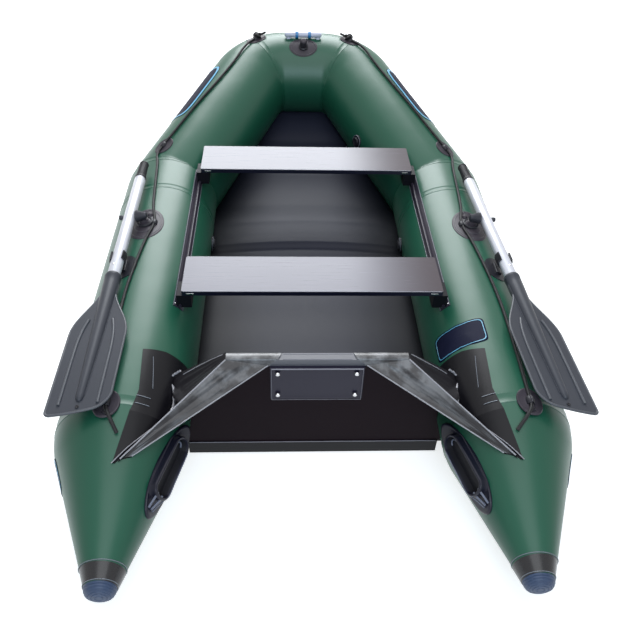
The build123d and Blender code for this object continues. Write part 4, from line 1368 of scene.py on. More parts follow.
def ring_tube(maker: MeshMaker, place: Matrix, radius: float, thick: float, height: float) -> None:
    """Adds a round ring that lies level with a frame's plane.

    Args:
        maker: Collector of the faces.
        place: Frame at the ring's centre.
        radius: Radius of the ring's middle line.
        thick: Radius of its section.
        height: Height of its middle line over the plane.
    """
    profile = [(radius + thick * math.cos(math.radians(a)), height + thick * math.sin(math.radians(a)))
               for a in range(0, 361, 45)]
    maker.lathe(place, profile, 28)


@dataclass
class RopeEyes:
    """Oval pads with an arch for the lifeline, in one piece.

    Attributes:
        size: Half length and half width of a pad.
    """

    size: tuple[float, float] = (0.05, 0.038)

    def eye(self, maker: MeshMaker, run: TubeRun, along: float, angle: float) -> None:
        """Adds one pad, its arch and its drain ring."""
        maker.slot = 0
        oval_pad(maker, run, along, angle, self.size, pad_profile(0.0024, 0.0012))
        maker.slot = 1
        bridge(maker, run.frame(along, angle))
        ring_tube(maker, run.frame(along - 0.031, angle), 0.0065, 0.0017, 0.0026)
        # Painted highlight: a paler shine line along the arch's crest.
        maker.slot = 2
        crest = [run.point(along + 0.011 * math.cos(turn), angle, 0.0138 + 0.001 * math.sin(turn))
                 for turn in map(math.radians, range(180, -1, -20))]
        maker.tube(crest, 0.0016)

    def build(self) -> Piece:
        """Makes every eye of the boat."""
        maker = MeshMaker("rope_eye_pads")
        for side in Side:
            maker.sign = side.value
            for run, along, angle in ((GORE, GORE.length / 2, 6), (BOW, 0.095, 16),
                                      (TUBE, 0.02, HULL.stern_eye[side])):
                self.eye(maker, run, along, angle)
        piece = maker.finish(["pad_mauve", "moulded_dark", "rope_shine"], slot="moulded_pvc")
        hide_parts("rope_eyes")
        return piece


# ---------------- oars
def along_x(place: Matrix, x: float, y: float, z: float) -> Matrix:
    """Frame at a point of another, turned so that its z axis runs along the other's x axis."""
    return place @ Matrix.Translation((x, y, z)) @ turned(90, "Y")


@dataclass
class OarGear:
    """Oar, rowlock, oarlock base, keeper and rest of one side, built for starboard.

    Attributes:
        side: Side of the boat.
        shaft_radius: Radius of the shaft.
        offset: How far outboard of the oarlock the shaft lies.
        height: Height of the shaft's middle over the skin.
        lock_angle: Angle of the oarlock round the tube.
        pad: Half length and half width of the oarlock's pad.
        blade_length: Length of the blade from the socket's mouth.
        blade_half: Half width of the blade.
        socket_mouth: Distance of the socket's mouth aft of the oarlock.
        keeper_aft: Distance of the keeper's middle aft of the oarlock.
    """

    side: Side
    shaft_radius: float = 0.021
    offset: float = 0.048
    height: float = 0.037
    lock_angle: float = 8.0
    pad: tuple[float, float] = (0.095, 0.066)
    blade_length: float = 0.602
    blade_half: float = 0.083
    socket_mouth: float = 0.326
    keeper_aft: float = 0.245

    @property
    def lock_along(self) -> float:
        """Distance of the oarlock along the side tube."""
        return HULL.along(HULL.oarlock_y)

    @property
    def body(self) -> str:
        """Body that the oar's pieces ride."""
        return f"oar_{self.side.word}"

    @property
    def rest(self) -> float:
        """Turn of the stowed oar about the oarlock, in degrees."""
        return 0.0 if self.side is Side.PORT else -2.7

    @property
    def tilt(self) -> float:
        """Turn of the blade about its shaft, in degrees."""
        return 5.0 if self.side is Side.PORT else -2.0

    @property
    def lock(self) -> Matrix:
        """Frame on the skin under the oarlock."""
        return TUBE.frame(self.lock_along, self.lock_angle)

    @property
    def oar(self) -> Matrix:
        """Frame of the oar: x forward, y inboard, z out of the skin."""
        return self.lock @ turned(-self.rest, "Z")

    def maker(self, name: str) -> MeshMaker:
        """Collector for a piece of this side."""
        return MeshMaker(f"{name}_{self.side.word}", self.side)

    def base(self) -> Piece:
        """Two-step pad with its rim line, socket and rope arch."""
        maker = self.maker("oarlock_pad")
        oval_pad(maker, TUBE, self.lock_along, self.lock_angle, self.pad,
                 [(0, 0.006), (0.3, 0.006), (0.56, 0.0056), (0.6, 0.0046), (0.62, 0.0026), (0.8, 0.0024),
                  (0.93, 0.0022), (0.975, 0.002), (1.0, 0.0004), (1.0, -0.0006), (0.6, -0.0006),
                  (0, -0.0006)])
        maker.lathe(self.lock, [
            (0.027, -0.001), (0.0265, 0.0062), (0.0245, 0.009), (0.0205, 0.0098), (0.02, 0.0122),
            (0.018, 0.0126), (0.0178, 0.015), (0.016, 0.0154), (0.0158, 0.0178), (0.015, 0.0184),
            (0.0148, 0.0212), (0.0135, 0.0222), (0.0088, 0.0222), (0.0085, 0.012), (0, 0.012)
        ])
        lug = self.lock @ Matrix.Translation((0.046, 0.012, 0))
        maker.lathe(lug, [(0.012, 0.001), (0.0115, 0.0065), (0.007, 0.0115), (0.0045, 0.0136), (0, 0.014)],
                    24)
        maker.slot = 1
        bridge(maker, TUBE.frame(self.lock_along, -1.5))
        # Painted highlight: paler shine lines on the pad's step edges and the socket's rims.
        maker.slot = 2
        for share, lift, thick in ((0.86, 0.0024, 0.0013), (0.585, 0.0052, 0.0008)):
            length, width = self.pad[0] * share, self.pad[1] * share
            rim = [TUBE.near(self.lock_along, self.lock_angle, length * math.cos(turn),
                             width * math.sin(turn), lift) for turn in turns(72, closed=True)]
            maker.tube(rim, thick, ends=False)
        ring_tube(maker, self.lock, 0.0215, 0.0012, 0.01)
        ring_tube(maker, self.lock, 0.0262, 0.0009, 0.0128)
        maker.slot = 1
        ring_tube(maker, self.lock, 0.0262, 0.0046, 0.0092)
        piece = maker.finish(["pad_mauve", "moulded_dark", "rope_shine"], slot="moulded_pvc")
        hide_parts(f"oarlock_base_{self.side.word}")
        return piece

    def rowlock(self) -> Piece:
        """Post, ribbed hub, pin and knob."""
        maker = self.maker("rowlock_hub")
        z = self.height
        maker.lathe(self.oar, [(0, 0.0125), (0.0078, 0.0125), (0.008, 0.014), (0.008, z - 0.002), (0.006, z),
                               (0, z)], 28)
        across = self.oar @ Matrix.Translation((0, 0.014, z)) @ turned(90, "X")
        maker.lathe(across, [
            (0, 0), (0.0085, 0), (0.0115, 0.0015), (0.012, 0.004), (0.012, 0.01), (0.0132, 0.0108),
            (0.0132, 0.014), (0.0146, 0.0148), (0.0146, 0.018), (0.016, 0.0188), (0.016, 0.022),
            (0.0176, 0.0228), (0.0176, 0.026), (0.0192, 0.0268), (0.0192, 0.031), (0.0212, 0.0325),
            (0.0212, 0.0385), (0.02, 0.0398), (0, 0.0398)
        ])
        maker.slot = 1
        maker.lathe(across, [(0, 0.038), (0.005, 0.038), (0.005, 0.087), (0, 0.087)], 20)
        maker.slot = 0
        maker.lathe(across, [(0, 0.084), (0.0062, 0.084), (0.0085, 0.0862), (0.009, 0.09), (0.009, 0.0965),
                             (0.0078, 0.0998), (0.005, 0.101), (0, 0.101)], 28)
        piece = maker.finish(["rowlock_grey", "steel"], body=self.body, slot="rowlock_plastic")
        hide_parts(f"rowlock_{self.side.word}")
        return piece

    def shaft(self) -> list[Piece]:
        """Aluminium shaft and its ribbed grip."""
        maker = self.maker("oar_tube")
        r = self.shaft_radius
        at = along_x(self.oar, 0, -self.offset, self.height)
        maker.lathe(at, [(0, -0.338), (r - 0.001, -0.338), (r, -0.336), (r, 0.254), (r - 0.0006, 0.2554),
                         (r - 0.0006, 0.262), (0, 0.262)], 56)
        maker.slot = 1
        for turn in (0, 180):
            middle = self.oar @ Matrix.Translation((0, -self.offset, self.height))
            button = (middle @ turned(turn, "X")
                      @ Matrix.Translation((-0.3, 0, r - 0.0004)))
            maker.lathe(button, [(0.0046, 0), (0.0046, 0.0009), (0.003, 0.0022), (0, 0.0026)], 20)
        piece = maker.finish(["shaft_silver", "steel"], body=self.body, slot="oar_aluminium")
        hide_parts(f"oar_shaft_{self.side.word}")
        maker = self.maker("oar_handle")
        profile = [(0, 0.252), (r + 0.0004, 0.252), (r + 0.001, 0.2535), (r + 0.0006, 0.268),
                   (r - 0.001, 0.272)]
        for i in range(9):
            x, radius = 0.276 + 0.0092 * i, 0.0188 - 0.00022 * i
            profile += [(radius - 0.0011, x), (radius, x + 0.0012), (radius, x + 0.007),
                        (radius - 0.0011, x + 0.008)]
        profile += [(0.0172, 0.3595), (0.0182, 0.361), (0.0182, 0.366), (0.015, 0.3705), (0.008, 0.3725),
                    (0, 0.373)]
        maker.lathe(at, profile, 48)
        grip = maker.finish(["grip_black"], body=self.body, slot="grip_plastic", smooth=30)
        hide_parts(f"oar_grip_{self.side.word}")
        return [piece, grip]

    def half_width(self, u: float) -> float:
        """Half width of the blade at a distance from the socket's mouth."""
        share = min(max((u - 0.075) / 0.215, 0), 1)
        return 0.019 + (self.blade_half - 0.019) * (1 - math.cos(math.pi * share)) / 2

    def blade_end(self, across: float) -> float:
        """Distance of the blade's end, at a share of the width from inboard to outboard."""
        end = self.blade_length + 0.004 - 0.036 * (1 - across) / 2 - 0.006 * across * across
        for sign, corner in ((1, 0.014), (-1, 0.044)):
            inside = (1 - sign * across) * self.blade_half
            if inside < corner:
                end -= corner - math.sqrt(max(corner * corner - (corner - inside) ** 2, 0))
        return end

    def blade(self) -> Piece:
        """Blade with its socket, tapered spine, ribs and rim; the rim, ribs and spine seams are paler as a
        painted highlight.
        """
        maker = self.maker("oar_paddle")
        root = (self.oar @ Matrix.Translation((-self.socket_mouth, -self.offset, self.height))
                @ Matrix.Rotation(math.pi, 4, "Z") @ turned(self.tilt, "X"))

        def at(u: float, v: float, lift: float) -> Point:
            return root @ Vector((u, v, lift))

        start, columns, count = 0.07, 44, 90
        crosses = [math.sin(math.pi / 2 * (2 * j / columns - 1)) for j in range(columns + 1)]
        tops, lows = [], []
        for i in range(count + 1):
            top, low = [], []
            for cross in crosses:
                u = start + (self.blade_end(cross) - start) * i / count
                v = cross * self.half_width(u)
                dish = 0.0028 * (1 - cross * cross) * min(1, (u - start) / 0.2)
                top.append(at(u, v, 0.0026 - dish * 0.5))
                low.append(at(u, v, -0.0026 + dish * 0.5))
            tops.append(top)
            lows.append(low)
        maker.slab(tops, lows)
        rim = [tops[i][0].lerp(lows[i][0], 0.5) for i in range(8, count + 1)]
        rim += [tops[count][j].lerp(lows[count][j], 0.5) for j in range(1, columns)]
        rim += [tops[i][-1].lerp(lows[i][-1], 0.5) for i in range(count, 7, -1)]
        # Painted highlight: the rim and the ribs take the paler blade finish.
        maker.slot = 1
        maker.tube(rim, 0.0038, sides=12)
        for edge in (-1, 1):
            for face in (-1, 1):
                rib = [at(u, edge * v, face * 0.003) for u, v in
                       ((0.226, 0.036), (0.262, 0.044), (0.3, 0.049), (0.345, 0.0515), (0.42, 0.052),
                        (0.5, 0.052), (0.566 if edge > 0 else 0.56, 0.052))]
                maker.tube(smooth_points(rib, 50), 0.0044, sides=12)
        maker.slot = 0
        spine = along_x(root, 0, 0, 0)
        maker.lathe(spine, [
            (0, 0.014), (0.0195, 0.0182), (0.024, 0.016), (0.0262, 0.0175), (0.0266, 0.02), (0.0266, 0.03),
            (0.0256, 0.032), (0.0256, 0.06), (0.0246, 0.1), (0.0225, 0.17), (0.02, 0.26), (0.0172, 0.36),
            (0.0142, 0.46), (0.012, 0.532), (0.0105, 0.543), (0.007, 0.551), (0, 0.554)
        ], 40)
        # Painted highlight: the spine's seams take the paler blade finish.
        maker.slot = 1
        for v in (0.0105, -0.0105):
            seam = [at(u, v * s, 0.0) for u, s in ((0.06, 2.45), (0.26, 1.93), (0.46, 1.38), (0.53, 1.18))]
            for face in (-1, 1):
                off = root.to_3x3() @ Vector((0, 0, 0.0029 * face))
                maker.tube([p + off for p in smooth_points(seam, 30)], 0.0008, sides=6)
        maker.slot = 2
        hole = root @ Matrix.Translation((0.572, 0, 0.0024))
        maker.lathe(hole, [(0.0056, 0), (0.0056, 0.0006), (0.004, 0.0009), (0.0034, 0.0002), (0, 0.0002)],
                    24)
        piece = maker.finish(["blade_grey", "blade_edge", "grip_black"], body=self.body,
                             slot="blade_plastic", smooth=50)
        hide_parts(f"oar_blade_{self.side.word}")
        return piece

    def keeper(self) -> Piece:
        """Springy C-shaped keeper that holds the shaft on its rest."""
        maker = self.maker("oar_clip")
        at = along_x(self.oar, -self.keeper_aft, -self.offset, self.height)
        first, sweep, middle = 228, 264, 20
        count = 2 * middle + 1

        def arc_point(share: float, radius: float, x: float) -> Point:
            turn = math.radians(first + sweep * share)
            return at @ Vector((radius * math.cos(turn), radius * math.sin(turn), x))

        tops, lows = [], []
        for x, grow in ((-0.02, -0.0012), (-0.0185, 0), (-0.006, 0), (0.006, 0), (0.0185, 0),
                        (0.02, -0.0012)):
            outer, inner = [], []
            for i in range(count):
                lip = 0.0026 * max(0.0, abs(i - middle) / middle - 0.86) / 0.14
                for ring, radius in ((outer, 0.026 + grow + lip), (inner, 0.0218 - grow * 0.4)):
                    ring.append(arc_point(i / (count - 1), radius, x))
            tops.append(outer)
            lows.append(inner)
        maker.slab(tops, lows)
        # Painted highlight: paler shine lines along the keeper's two edges.
        maker.slot = 1
        for x in (-0.0196, 0.0196):
            maker.tube([arc_point(i / 30, 0.0256, x) for i in range(31)], 0.0009, sides=6)
        piece = maker.finish(["grip_black", "rope_shine"], body=self.body, slot="keeper_rubber")
        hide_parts(f"oar_keeper_{self.side.word}")
        return piece

    def build(self) -> list[Piece]:
        """Makes every piece of this side's oar gear."""
        return [self.base(), self.rowlock(), *self.shaft(), self.blade(), self.keeper()]


# ---------------- flat badges and plates
@dataclass(frozen=True)
class Decal:
    """A thin blank plate on the skin, with a coloured line near its edge.

    Attributes:
        half: Half length along the run and half width round it.
        corner: Exponent share of the corners: 0 square, 1 oval.
        margin: Distance of the line from the edge.
        line: Width of the line.
        thick: Thickness.
    """

    half: tuple[float, float]
    corner: float = 0.3
    margin: float = 0.004
    line: float = 0.004
    thick: float = 0.0016

    def outline(self, inset: float, lift: float, place: TubeRun, along: float, angle: float) -> list[Point]:
        """Ring of points at an inset from the edge.

        Args:
            inset: Distance from the edge.
            lift: Height off the skin.
            place: Tube that carries the plate.
            along: Distance of the plate's middle along it.
            angle: Angle of the plate's middle round it.

        Returns:
            The ring.
        """
        a, b = max(self.half[0] - inset, 0), max(self.half[1] - inset, 0)
        ring = []
        for turn in turns(96):
            c, s = math.cos(turn), math.sin(turn)
            u = a * math.copysign(abs(c) ** self.corner, c)
            v = b * math.copysign(abs(s) ** self.corner, s)
            ring.append(place.near(along, angle, u, v, lift))
        return ring

    def add(self, maker: MeshMaker, place: TubeRun, along: float, angle: float) -> None:
        """Adds the plate; slot 0 is the field, slot 1 the line."""
        top, m, w = self.thick, self.margin, self.line
        small = min(self.half)
        bands = [(0, [(small, -0.0005), (0, -0.0005), (0, top * 0.6), (0.0008, top), (m, top)]),
                 (1, [(m, top), (m + 0.0004, top + 0.0004), (m + w - 0.0004, top + 0.0004), (m + w, top)]),
                 (0, [(m + w, top), (m + 2 * w, top), (small * 0.5, top), (small * 0.999, top)])]
        for slot, band in bands:
            maker.slot = slot
            rings = [self.outline(inset, lift, place, along, angle) for inset, lift in band]
            maker.grid(rings, close_columns=True)


def build_badges() -> list[Piece]:
    """Makes the blank badges on the bow and the stern, and the blank capacity plate."""
    maker = MeshMaker("blank_badges")
    for side in Side:
        maker.sign = side.value
        Decal((0.186, 0.074), 0.42, 0.003, 0.0105).add(maker, BOW, 0.55 * BOW.length, 41.5)
        Decal((0.05, 0.03), 0.4, 0.003, 0.004).add(maker, CONE, CONE.length - 0.092, 84)
    badges = maker.finish(["badge_navy", "badge_line"], slot="badge_vinyl")
    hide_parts("badges")
    maker = MeshMaker("blank_plate")
    Decal((0.053, 0.092), 0.24, 0.005, 0.0026).add(maker, TUBE, HULL.along(-0.625), -38)
    plate = maker.finish(["badge_navy", "plate_line"], slot="plate_vinyl")
    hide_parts("capacity_plate")
    return [badges, plate]


# ---------------- fittings
class Fittings:
    """Small fittings of the hull: bow handle and eye, cone ends, transom trim, rails and valves.

    Attributes:
        eye_angle: Angle of the bow eye aft from the top of the cross tube.
        rail_angle: Angle of the seat rails round the side tubes.
        bolt_middle: Height of the middle of the motor plate's four bolts.
    """

    eye_angle = 28
    rail_angle = -43
    bolt_middle = 0.342

    def bow_handle(self) -> list[Piece]:
        """Pale bar across the bow with two blue collars."""
        place = HULL.bow_cross(0, 8.5, 0.0155)
        at = along_x(place, 0, 0, 0)
        maker = MeshMaker("bow_bar")
        maker.lathe(at, [(0, -0.088), (0.0065, -0.0875), (0.0098, -0.084), (0.0118, -0.074), (0.0122, -0.05),
                         (0.0122, 0.05), (0.0118, 0.074), (0.0098, 0.084), (0.0065, 0.0875), (0, 0.088)])
        for x in (-0.07, 0.07):
            foot = place @ Matrix.Translation((x, 0, -0.015))
            maker.lathe(foot, [(0.013, -0.004), (0.0125, 0.002), (0.009, 0.006), (0.0085, 0.012)], 28)
        bar = maker.finish(["handle_lilac"], slot="handle_plastic")
        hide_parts("bow_handle")
        maker = MeshMaker("bow_bar_rings")
        for x in (-0.03, 0.03):
            maker.lathe(at, [(0.0122, x - 0.007), (0.015, x - 0.0068), (0.0158, x - 0.0055),
                             (0.0158, x + 0.0055), (0.015, x + 0.0068), (0.0122, x + 0.007)])
        rings = maker.finish(["collar_blue"], slot="handle_plastic")
        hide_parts("bow_handle_collars")
        return [bar, rings]

    def bow_eye_rim(self) -> Piece:
        """Welded rim of the bow eye's pad and the round shoulder of its post."""
        maker = MeshMaker("bow_eye_rim")
        # Painted highlight: the rim is a paler shine line.
        rim = []
        for turn in turns(72, closed=True):
            x, arc = 0.058 * math.cos(turn), 0.0445 * math.sin(turn)
            angle = math.degrees(arc / HULL.bow_radius) + self.eye_angle
            rim.append(HULL.bow_cross(x, angle, 0.0026).translation)
        maker.tube(rim, 0.0013, ends=False)
        post = HULL.bow_cross(0, self.eye_angle)
        maker.slot = 1
        maker.lathe(post, [(0.0225, 0.0016), (0.022, 0.006), (0.019, 0.0085), (0.0168, 0.01),
                           (0.0166, 0.016)])
        return maker.finish(["rope_shine", "moulded_dark"], slot="moulded_pvc")

    def cone_end(self, side: Side) -> list[Piece]:
        """Ridged end cap, and the raised lips of the wear band, pale as a painted highlight."""
        facing = (CONE.start - CONE.end).to_track_quat("Z", "Y").to_matrix().to_4x4()
        at = Matrix.Translation(CONE.start) @ facing
        maker = MeshMaker(f"cone_cap_{side.word}", side)
        maker.lathe(at, [
            (0, -0.002), (0.0415, -0.002), (0.0425, 0.0005), (0.0422, 0.0046), (0.04, 0.0058),
            (0.0404, 0.0074), (0.0402, 0.0112), (0.0382, 0.0124), (0.0384, 0.0142), (0.0366, 0.0176),
            (0.0342, 0.0184), (0.0338, 0.0206), (0.03, 0.0226), (0.028, 0.0218), (0.0268, 0.0238),
            (0.022, 0.0252), (0.0198, 0.024), (0.0186, 0.0258), (0.012, 0.0266), (0.01, 0.0252),
            (0.0088, 0.0266), (0, 0.0268)
        ], 56)
        cap = maker.finish(["cap_slate"], slot="cap_plastic", smooth=25)
        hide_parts(f"end_cap_{side.word}")
        maker = MeshMaker(f"wear_lips_{side.word}", side)
        # Painted highlight: the lips are pale lines round the skin.
        for at_s, lift, thick in ((0.0465, 0.0016, 0.0011), (0.003, 0.0016, 0.001)):
            ring = SKIN.ring(at_s, lift)
            maker.tube(ring + ring[:1], thick, ends=False)
        lips = maker.finish(["lip_light"], slot="black_fabric")
        return [cap, lips]

    def transom_trim(self) -> Piece:
        """Pale lines on the motor plate's flange and along the top and foot strips, painted highlights on
        their edges, and dome bolts.
        """
        maker = MeshMaker("transom_trim")
        low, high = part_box("motor_plate_outer")
        top_low, top_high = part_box("transom_top_strip")
        foot_low, foot_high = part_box("transom_foot_strip")
        y = low.y - 0.0004
        left, right, bottom, top = low.x + 0.004, high.x - 0.004, low.z + 0.004, high.z - 0.004
        loop = [Vector((x, y, z)) for x, z in ((left, bottom), (right, bottom), (right, top), (left, top))]
        # Painted highlight: pale lines round the plate's flange, the top one thickest.
        for a, b, thick in ((0, 1, 0.0006), (1, 2, 0.0006), (2, 3, 0.0022), (3, 0, 0.0006)):
            maker.line(loop[a], loop[b], thick, 24)
        foot_y, foot_z, top_z = foot_low.y - 0.0002, foot_high.z - 0.001, top_high.z + 0.0002
        # Painted highlight: pale lines along the foot strip's and the top strip's edges.
        lines = [(foot_low.x + 0.004, foot_high.x - 0.004, foot_y, foot_z, 0.0013)]
        lines += [(-0.1, 0.1, top_y, top_z, 0.0009) for top_y in (top_low.y + 0.003, top_high.y - 0.004)]
        for left, right, line_y, line_z, thick in lines:
            maker.line(Vector((left, line_y, line_z)), Vector((right, line_y, line_z)), thick, 40)
        maker.slot = 1
        for x in (-0.115, 0.115):
            for z in (self.bolt_middle - 0.045, self.bolt_middle + 0.045):
                bolt = Matrix.Translation((x, y, z)) @ turned(90, "X")
                maker.lathe(bolt, [(0.0075, -0.001), (0.0073, 0.0014), (0.0056, 0.0034), (0.003, 0.0044),
                                   (0, 0.0047)], 28)
        return maker.finish(["trim_line", "steel"], slot="plate_plastic")

    def rail_lines(self, side: Side) -> Piece:
        """Edges of the seat rail's base as pale lines, a painted highlight, with its end rivets."""
        maker = MeshMaker(f"rail_edges_{side.word}", side)
        start, end = HULL.along(-0.474), HULL.along(0.381)
        # Painted highlight: pale lines along both edges of the rail's base.
        for offset in (-0.0185, 0.0185):
            angle = self.rail_angle + math.degrees(offset / HULL.radius)
            first, last = (TUBE.point(along, angle, 0.0022) for along in (start + 0.002, end - 0.002))
            maker.line(first, last, 0.0011, 60)
        maker.slot = 1
        for along in (start + 0.012, end - 0.012):
            for offset in (-0.012, 0.012):
                place = TUBE.frame(along, self.rail_angle + math.degrees(offset / HULL.radius))
                maker.lathe(place, [(0.0042, 0.001), (0.004, 0.003), (0.0022, 0.0042), (0, 0.0045)], 20)
        return maker.finish(["lip_light", "steel"], slot="rail_plastic")

    def patch_welds(self, side: Side) -> Piece:
        """Raised weld lines on the patch under the transom cover, pale as a painted highlight."""
        maker = MeshMaker(f"patch_welds_{side.word}", side)
        lines = [((0.217, -26.8), (0.18, -28.4), (0.14, -29.9), (0.097, -31.4))]
        lines += [tuple((along, angle) for angle in (-19, -22, -25, -28, -31)) for along in (0.03, 0.058)]
        # Painted highlight: the weld lines take the pale lip finish.
        for line in lines:
            weld = [TUBE.point(along, angle, 0.003) for along, angle in line]
            maker.tube(smooth_points(weld, 24), 0.001, sides=6)
        return maker.finish(["lip_light"], slot="black_fabric")

    def seat_trim(self, seat: str) -> Piece:
        """Pale line along the near top edge of a seat board, a painted highlight, and the small plates that
        hold its slides.
        """
        low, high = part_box(f"seat_board_{seat}")
        maker = MeshMaker(f"seat_edges_{seat}")
        y, z = low.y + 0.0012, high.z - 0.0012
        # Painted highlight: a pale line along the board's aft top edge.
        maker.line(Vector((low.x + 0.005, y, z)), Vector((high.x - 0.005, y, z)), 0.0015, 60)
        middle_z = (low.z + high.z) / 2 - 0.002
        maker.slot = 1
        for x in (-0.4, 0.4):
            plate = (Matrix.Translation((x, low.y + 0.0002, middle_z))
                     @ turned(90, "X"))
            maker.block(plate, Vector((0.025, 0.0052, 0.0012)), 0.0006)
        return maker.finish(["seat_line", "steel"], body=f"seat_{seat}", slot="seat_plywood")

    def valves(self) -> Piece:
        """Low round valves with a thin rim, pale as a painted highlight, and a ribbed cap."""
        maker = MeshMaker("valve_set")
        star = Side.STARBOARD
        along_tube = HULL.along(0.1)
        for side, run, along, angle in ((star, TUBE, along_tube, -97), (Side.PORT, TUBE, along_tube, -97),
                                        (star, BOW, 0.4, -84)):
            maker.sign = side.value
            place = run.frame(along, angle, -0.0032)
            maker.slot = 0
            maker.lathe(place, [
                (0, -0.001), (0.03, -0.001), (0.03, 0.0062), (0.0288, 0.008), (0.022, 0.0092),
                (0.0205, 0.0084), (0.0196, 0.0086), (0.019, 0.0145), (0.018, 0.0158), (0.012, 0.016),
                (0.011, 0.015), (0, 0.015)
            ], 48)
            for turn in turns(12):
                rib = place @ Matrix.Translation((0.0192 * math.cos(turn), 0.0192 * math.sin(turn), 0.0088))
                maker.lathe(rib, [(0.0013, 0), (0.0012, 0.0052), (0, 0.006)], 8)
            # Painted highlight: the pale rim ring.
            maker.slot = 1
            ring_tube(maker, place, 0.0286, 0.0011, 0.0078)
        piece = maker.finish(["moulded_dark", "lip_light"], slot="moulded_pvc")
        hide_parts("valves")
        return piece

    def build(self) -> list[Piece]:
        """Makes every fitting."""
        made = [*self.bow_handle(), self.bow_eye_rim(), self.transom_trim(), self.valves()]
        for side in Side:
            made += [*self.cone_end(side), self.rail_lines(side), self.patch_welds(side)]
        return made + [self.seat_trim(seat) for seat in ("front", "rear")]


# ---------------- light, floor and camera
@dataclass(frozen=True)
class SoftBox:
    """A rectangular area light that points at the boat.

    Attributes:
        name: Light name.
        place: Where it hangs.
        size: Width and height.
        power: Power in watts.
        aim: Point it looks at.
        colour: Colour of its light.
    """

    name: str
    place: tuple[float, float, float]
    size: tuple[float, float]
    power: float
    aim: tuple[float, float, float] = (0, 0, 0.2)
    colour: Colour = (0.94, 0.97, 1.0)

    def build(self) -> None:
        """Makes the light."""
        data = bpy.data.lights.new(self.name, "AREA")
        data.shape = "RECTANGLE"
        data.size, data.size_y = self.size
        data.color = self.colour
        data.energy = self.power
        light = bpy.data.objects.new(self.name, data)
        light.location = self.place
        direction = Vector(self.aim) - Vector(self.place)
        light.rotation_mode = "QUATERNION"
        light.rotation_quaternion = direction.to_track_quat("-Z", "Y")
        bpy.context.scene.collection.objects.link(light)


def seen_rays(build: GroupBuilder) -> Socket:
    """1 for camera, glossy and transmission rays, 0 for the rest."""
    rays = build.node("LightPath").outputs
    seen = build.math("MAXIMUM", rays["Is Camera Ray"], rays["Is Glossy Ray"])
    return build.math("MAXIMUM", seen, rays["Is Transmission Ray"])


def show_shaders(build: GroupBuilder, kind: str, unseen: Socket, seen: Socket) -> None:
    """Ends a tree with one shader for the rays that are seen and another for the rest.

    Args:
        build: Builder of the tree.
        kind: Type of the tree's output node.
        unseen: Shader for the other rays.
        seen: Shader for camera, glossy and transmission rays.
    """
    mix = build.node("MixShader")
    for into, value in zip(mix.inputs, (seen_rays(build), unseen, seen)):
        build.feed(into, value)
    build.node(kind, Surface=mix.outputs["Shader"])


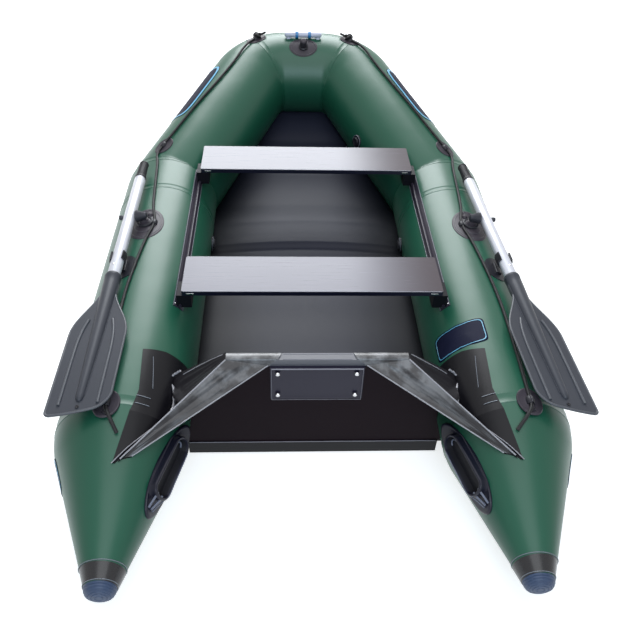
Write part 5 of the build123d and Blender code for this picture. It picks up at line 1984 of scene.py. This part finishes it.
class Studio:
    """Pale floor, white surroundings, soft lights and the camera.

    Attributes:
        lights: The soft lights.
        camera_place: Where the camera stands.
        pitch: Degrees that it looks down.
        yaw: Degrees that it looks to starboard of dead ahead.
        roll: Degrees that it is rolled.
        focal_px: Focal length, in the units of frame_px.
        frame_px: Width of the frame.
    """

    lights = (
        SoftBox("light_bow", (-0.2, 4.3, 3.3), (3.0, 3.2), 275, (-0.1, -0.2, 0.35)),
        SoftBox("light_top", (0.0, -0.9, 3.8), (3.2, 4.2), 72),
        SoftBox("light_stern", (0.1, -4.2, 3.0), (1.7, 2.4), 85, (0.0, 0.8, 0.45), (0.7, 0.86, 1.0)),
    )
    camera_place = (-0.106, -2.228, 1.889)
    pitch = 42.144
    yaw = 3.724
    roll = -2.512
    focal_px = 708.8
    frame_px = 630

    def floor(self) -> None:
        """Pale floor under the boat."""
        reach, below = 30.0, -0.002
        corners = [(x, y, below) for x, y in ((-reach, -reach), (reach, -reach), (reach, reach),
                                              (-reach, reach))]
        mesh = bpy.data.meshes.new("studio_floor")
        mesh.from_pydata(corners, [], [(0, 1, 2, 3)])
        floor = bpy.data.objects.new("studio_floor", mesh)
        bpy.context.scene.collection.objects.link(floor)
        material, build = new_material("studio_floor")
        build.tree.nodes.clear()
        far = build.node("VectorMath", operation="LENGTH")
        build.feed(far.inputs[0], build.place())
        glow = build.eased(far.outputs["Value"], 2.2, 8.0, 1.0, 0.7)
        pale = build.node("BsdfDiffuse", Color=(0.8, 0.8, 0.8)).outputs["BSDF"]
        lit = build.node("AddShader")
        build.feed(lit.inputs[0], pale)
        build.feed(lit.inputs[1], build.node("Emission", Color=(1, 1, 1), Strength=glow).outputs["Emission"])
        show_shaders(build, "OutputMaterial", pale, lit.outputs["Shader"])
        mesh.materials.append(material)

    def world(self) -> None:
        """White surroundings for the camera and a soft grey light for everything else."""
        world = bpy.data.worlds.new("studio")
        bpy.context.scene.world = world
        world.use_nodes = True
        build = GroupBuilder(world.node_tree)
        build.tree.nodes.clear()
        lit = build.node("Background", Color=(0.8, 0.86, 0.92), Strength=0.08)
        seen = build.node("Background", Color=(1, 1, 1), Strength=1.0)
        show_shaders(build, "OutputWorld", lit.outputs["Background"], seen.outputs["Background"])

    def camera(self) -> None:
        """Camera over the stern, looking forward and down."""
        data = bpy.data.cameras.new("camera")
        data.sensor_width = 36
        data.lens = self.focal_px / self.frame_px * data.sensor_width
        data.clip_start, data.clip_end = 0.05, 100
        camera = bpy.data.objects.new("camera", data)
        pitch, yaw, roll = (math.radians(angle) for angle in (self.pitch, self.yaw, self.roll))
        ahead = Vector((math.sin(yaw) * math.cos(pitch), math.cos(yaw) * math.cos(pitch), -math.sin(pitch)))
        level = Vector((math.cos(yaw), -math.sin(yaw), 0))
        down = ahead.cross(level)
        right = level * math.cos(roll) + down * math.sin(roll)
        below = down * math.cos(roll) - level * math.sin(roll)
        turn = Matrix((right, -below, -ahead)).transposed().to_4x4()
        camera.matrix_world = Matrix.Translation(self.camera_place) @ turn
        bpy.context.scene.collection.objects.link(camera)
        bpy.context.scene.camera = camera

    def build(self) -> None:
        """Sets up the whole studio."""
        scene = bpy.context.scene
        scene.view_settings.view_transform = "Standard"
        self.floor()
        self.world()
        for light in self.lights:
            light.build()
        self.camera()


# ---------------- finishes of the frame's own nodes
NODE_FINISH = {
    "hull_bottom": "bottom_black",
    "wear_bands": "band_gloss",
    "transom_board": "transom_ply",
    "transom_top_strip": "strip_grey",
    "transom_foot_strip": "patch_black",
    "motor_plate_outer": "plate_navy",
    "motor_plate_inner": "plate_navy",
    "transom_patch_*": "patch_black",
    "seat_rail_*": "rail_violet",
    "oar_rest_*": "moulded_dark",
    "bow_eye": "pad_mauve",
    "seat_board_*": "seat_ply",
    "seat_slides_*": "slide_black",
}


def dress_nodes() -> None:
    """Gives each of the frame's own nodes its finish."""
    for pattern, finish in NODE_FINISH.items():
        stem = pattern.rstrip("*")
        for name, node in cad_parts.items():
            if name == pattern or (pattern.endswith("*") and name.startswith(stem)):
                for place in node.material_slots:
                    place.material = PALETTE[finish]
                node.data.shade_smooth()


def main() -> None:
    """Builds the scene."""
    dress_nodes()
    made = [*SKIN.build(), Floor().build(), RopeEyes().build(), *build_badges(), *Fittings().build()]
    for side in Side:
        made += [kind(side).build() for kind in (SeamTapes, TransomCover, CarryHandle, Lifeline)]
        made += OarGear(side).build()
    for piece in made:
        log.info("%s: %d faces", piece.name, len(piece.data.polygons))
    Studio().build()


if __name__ == "__main__":
    main()
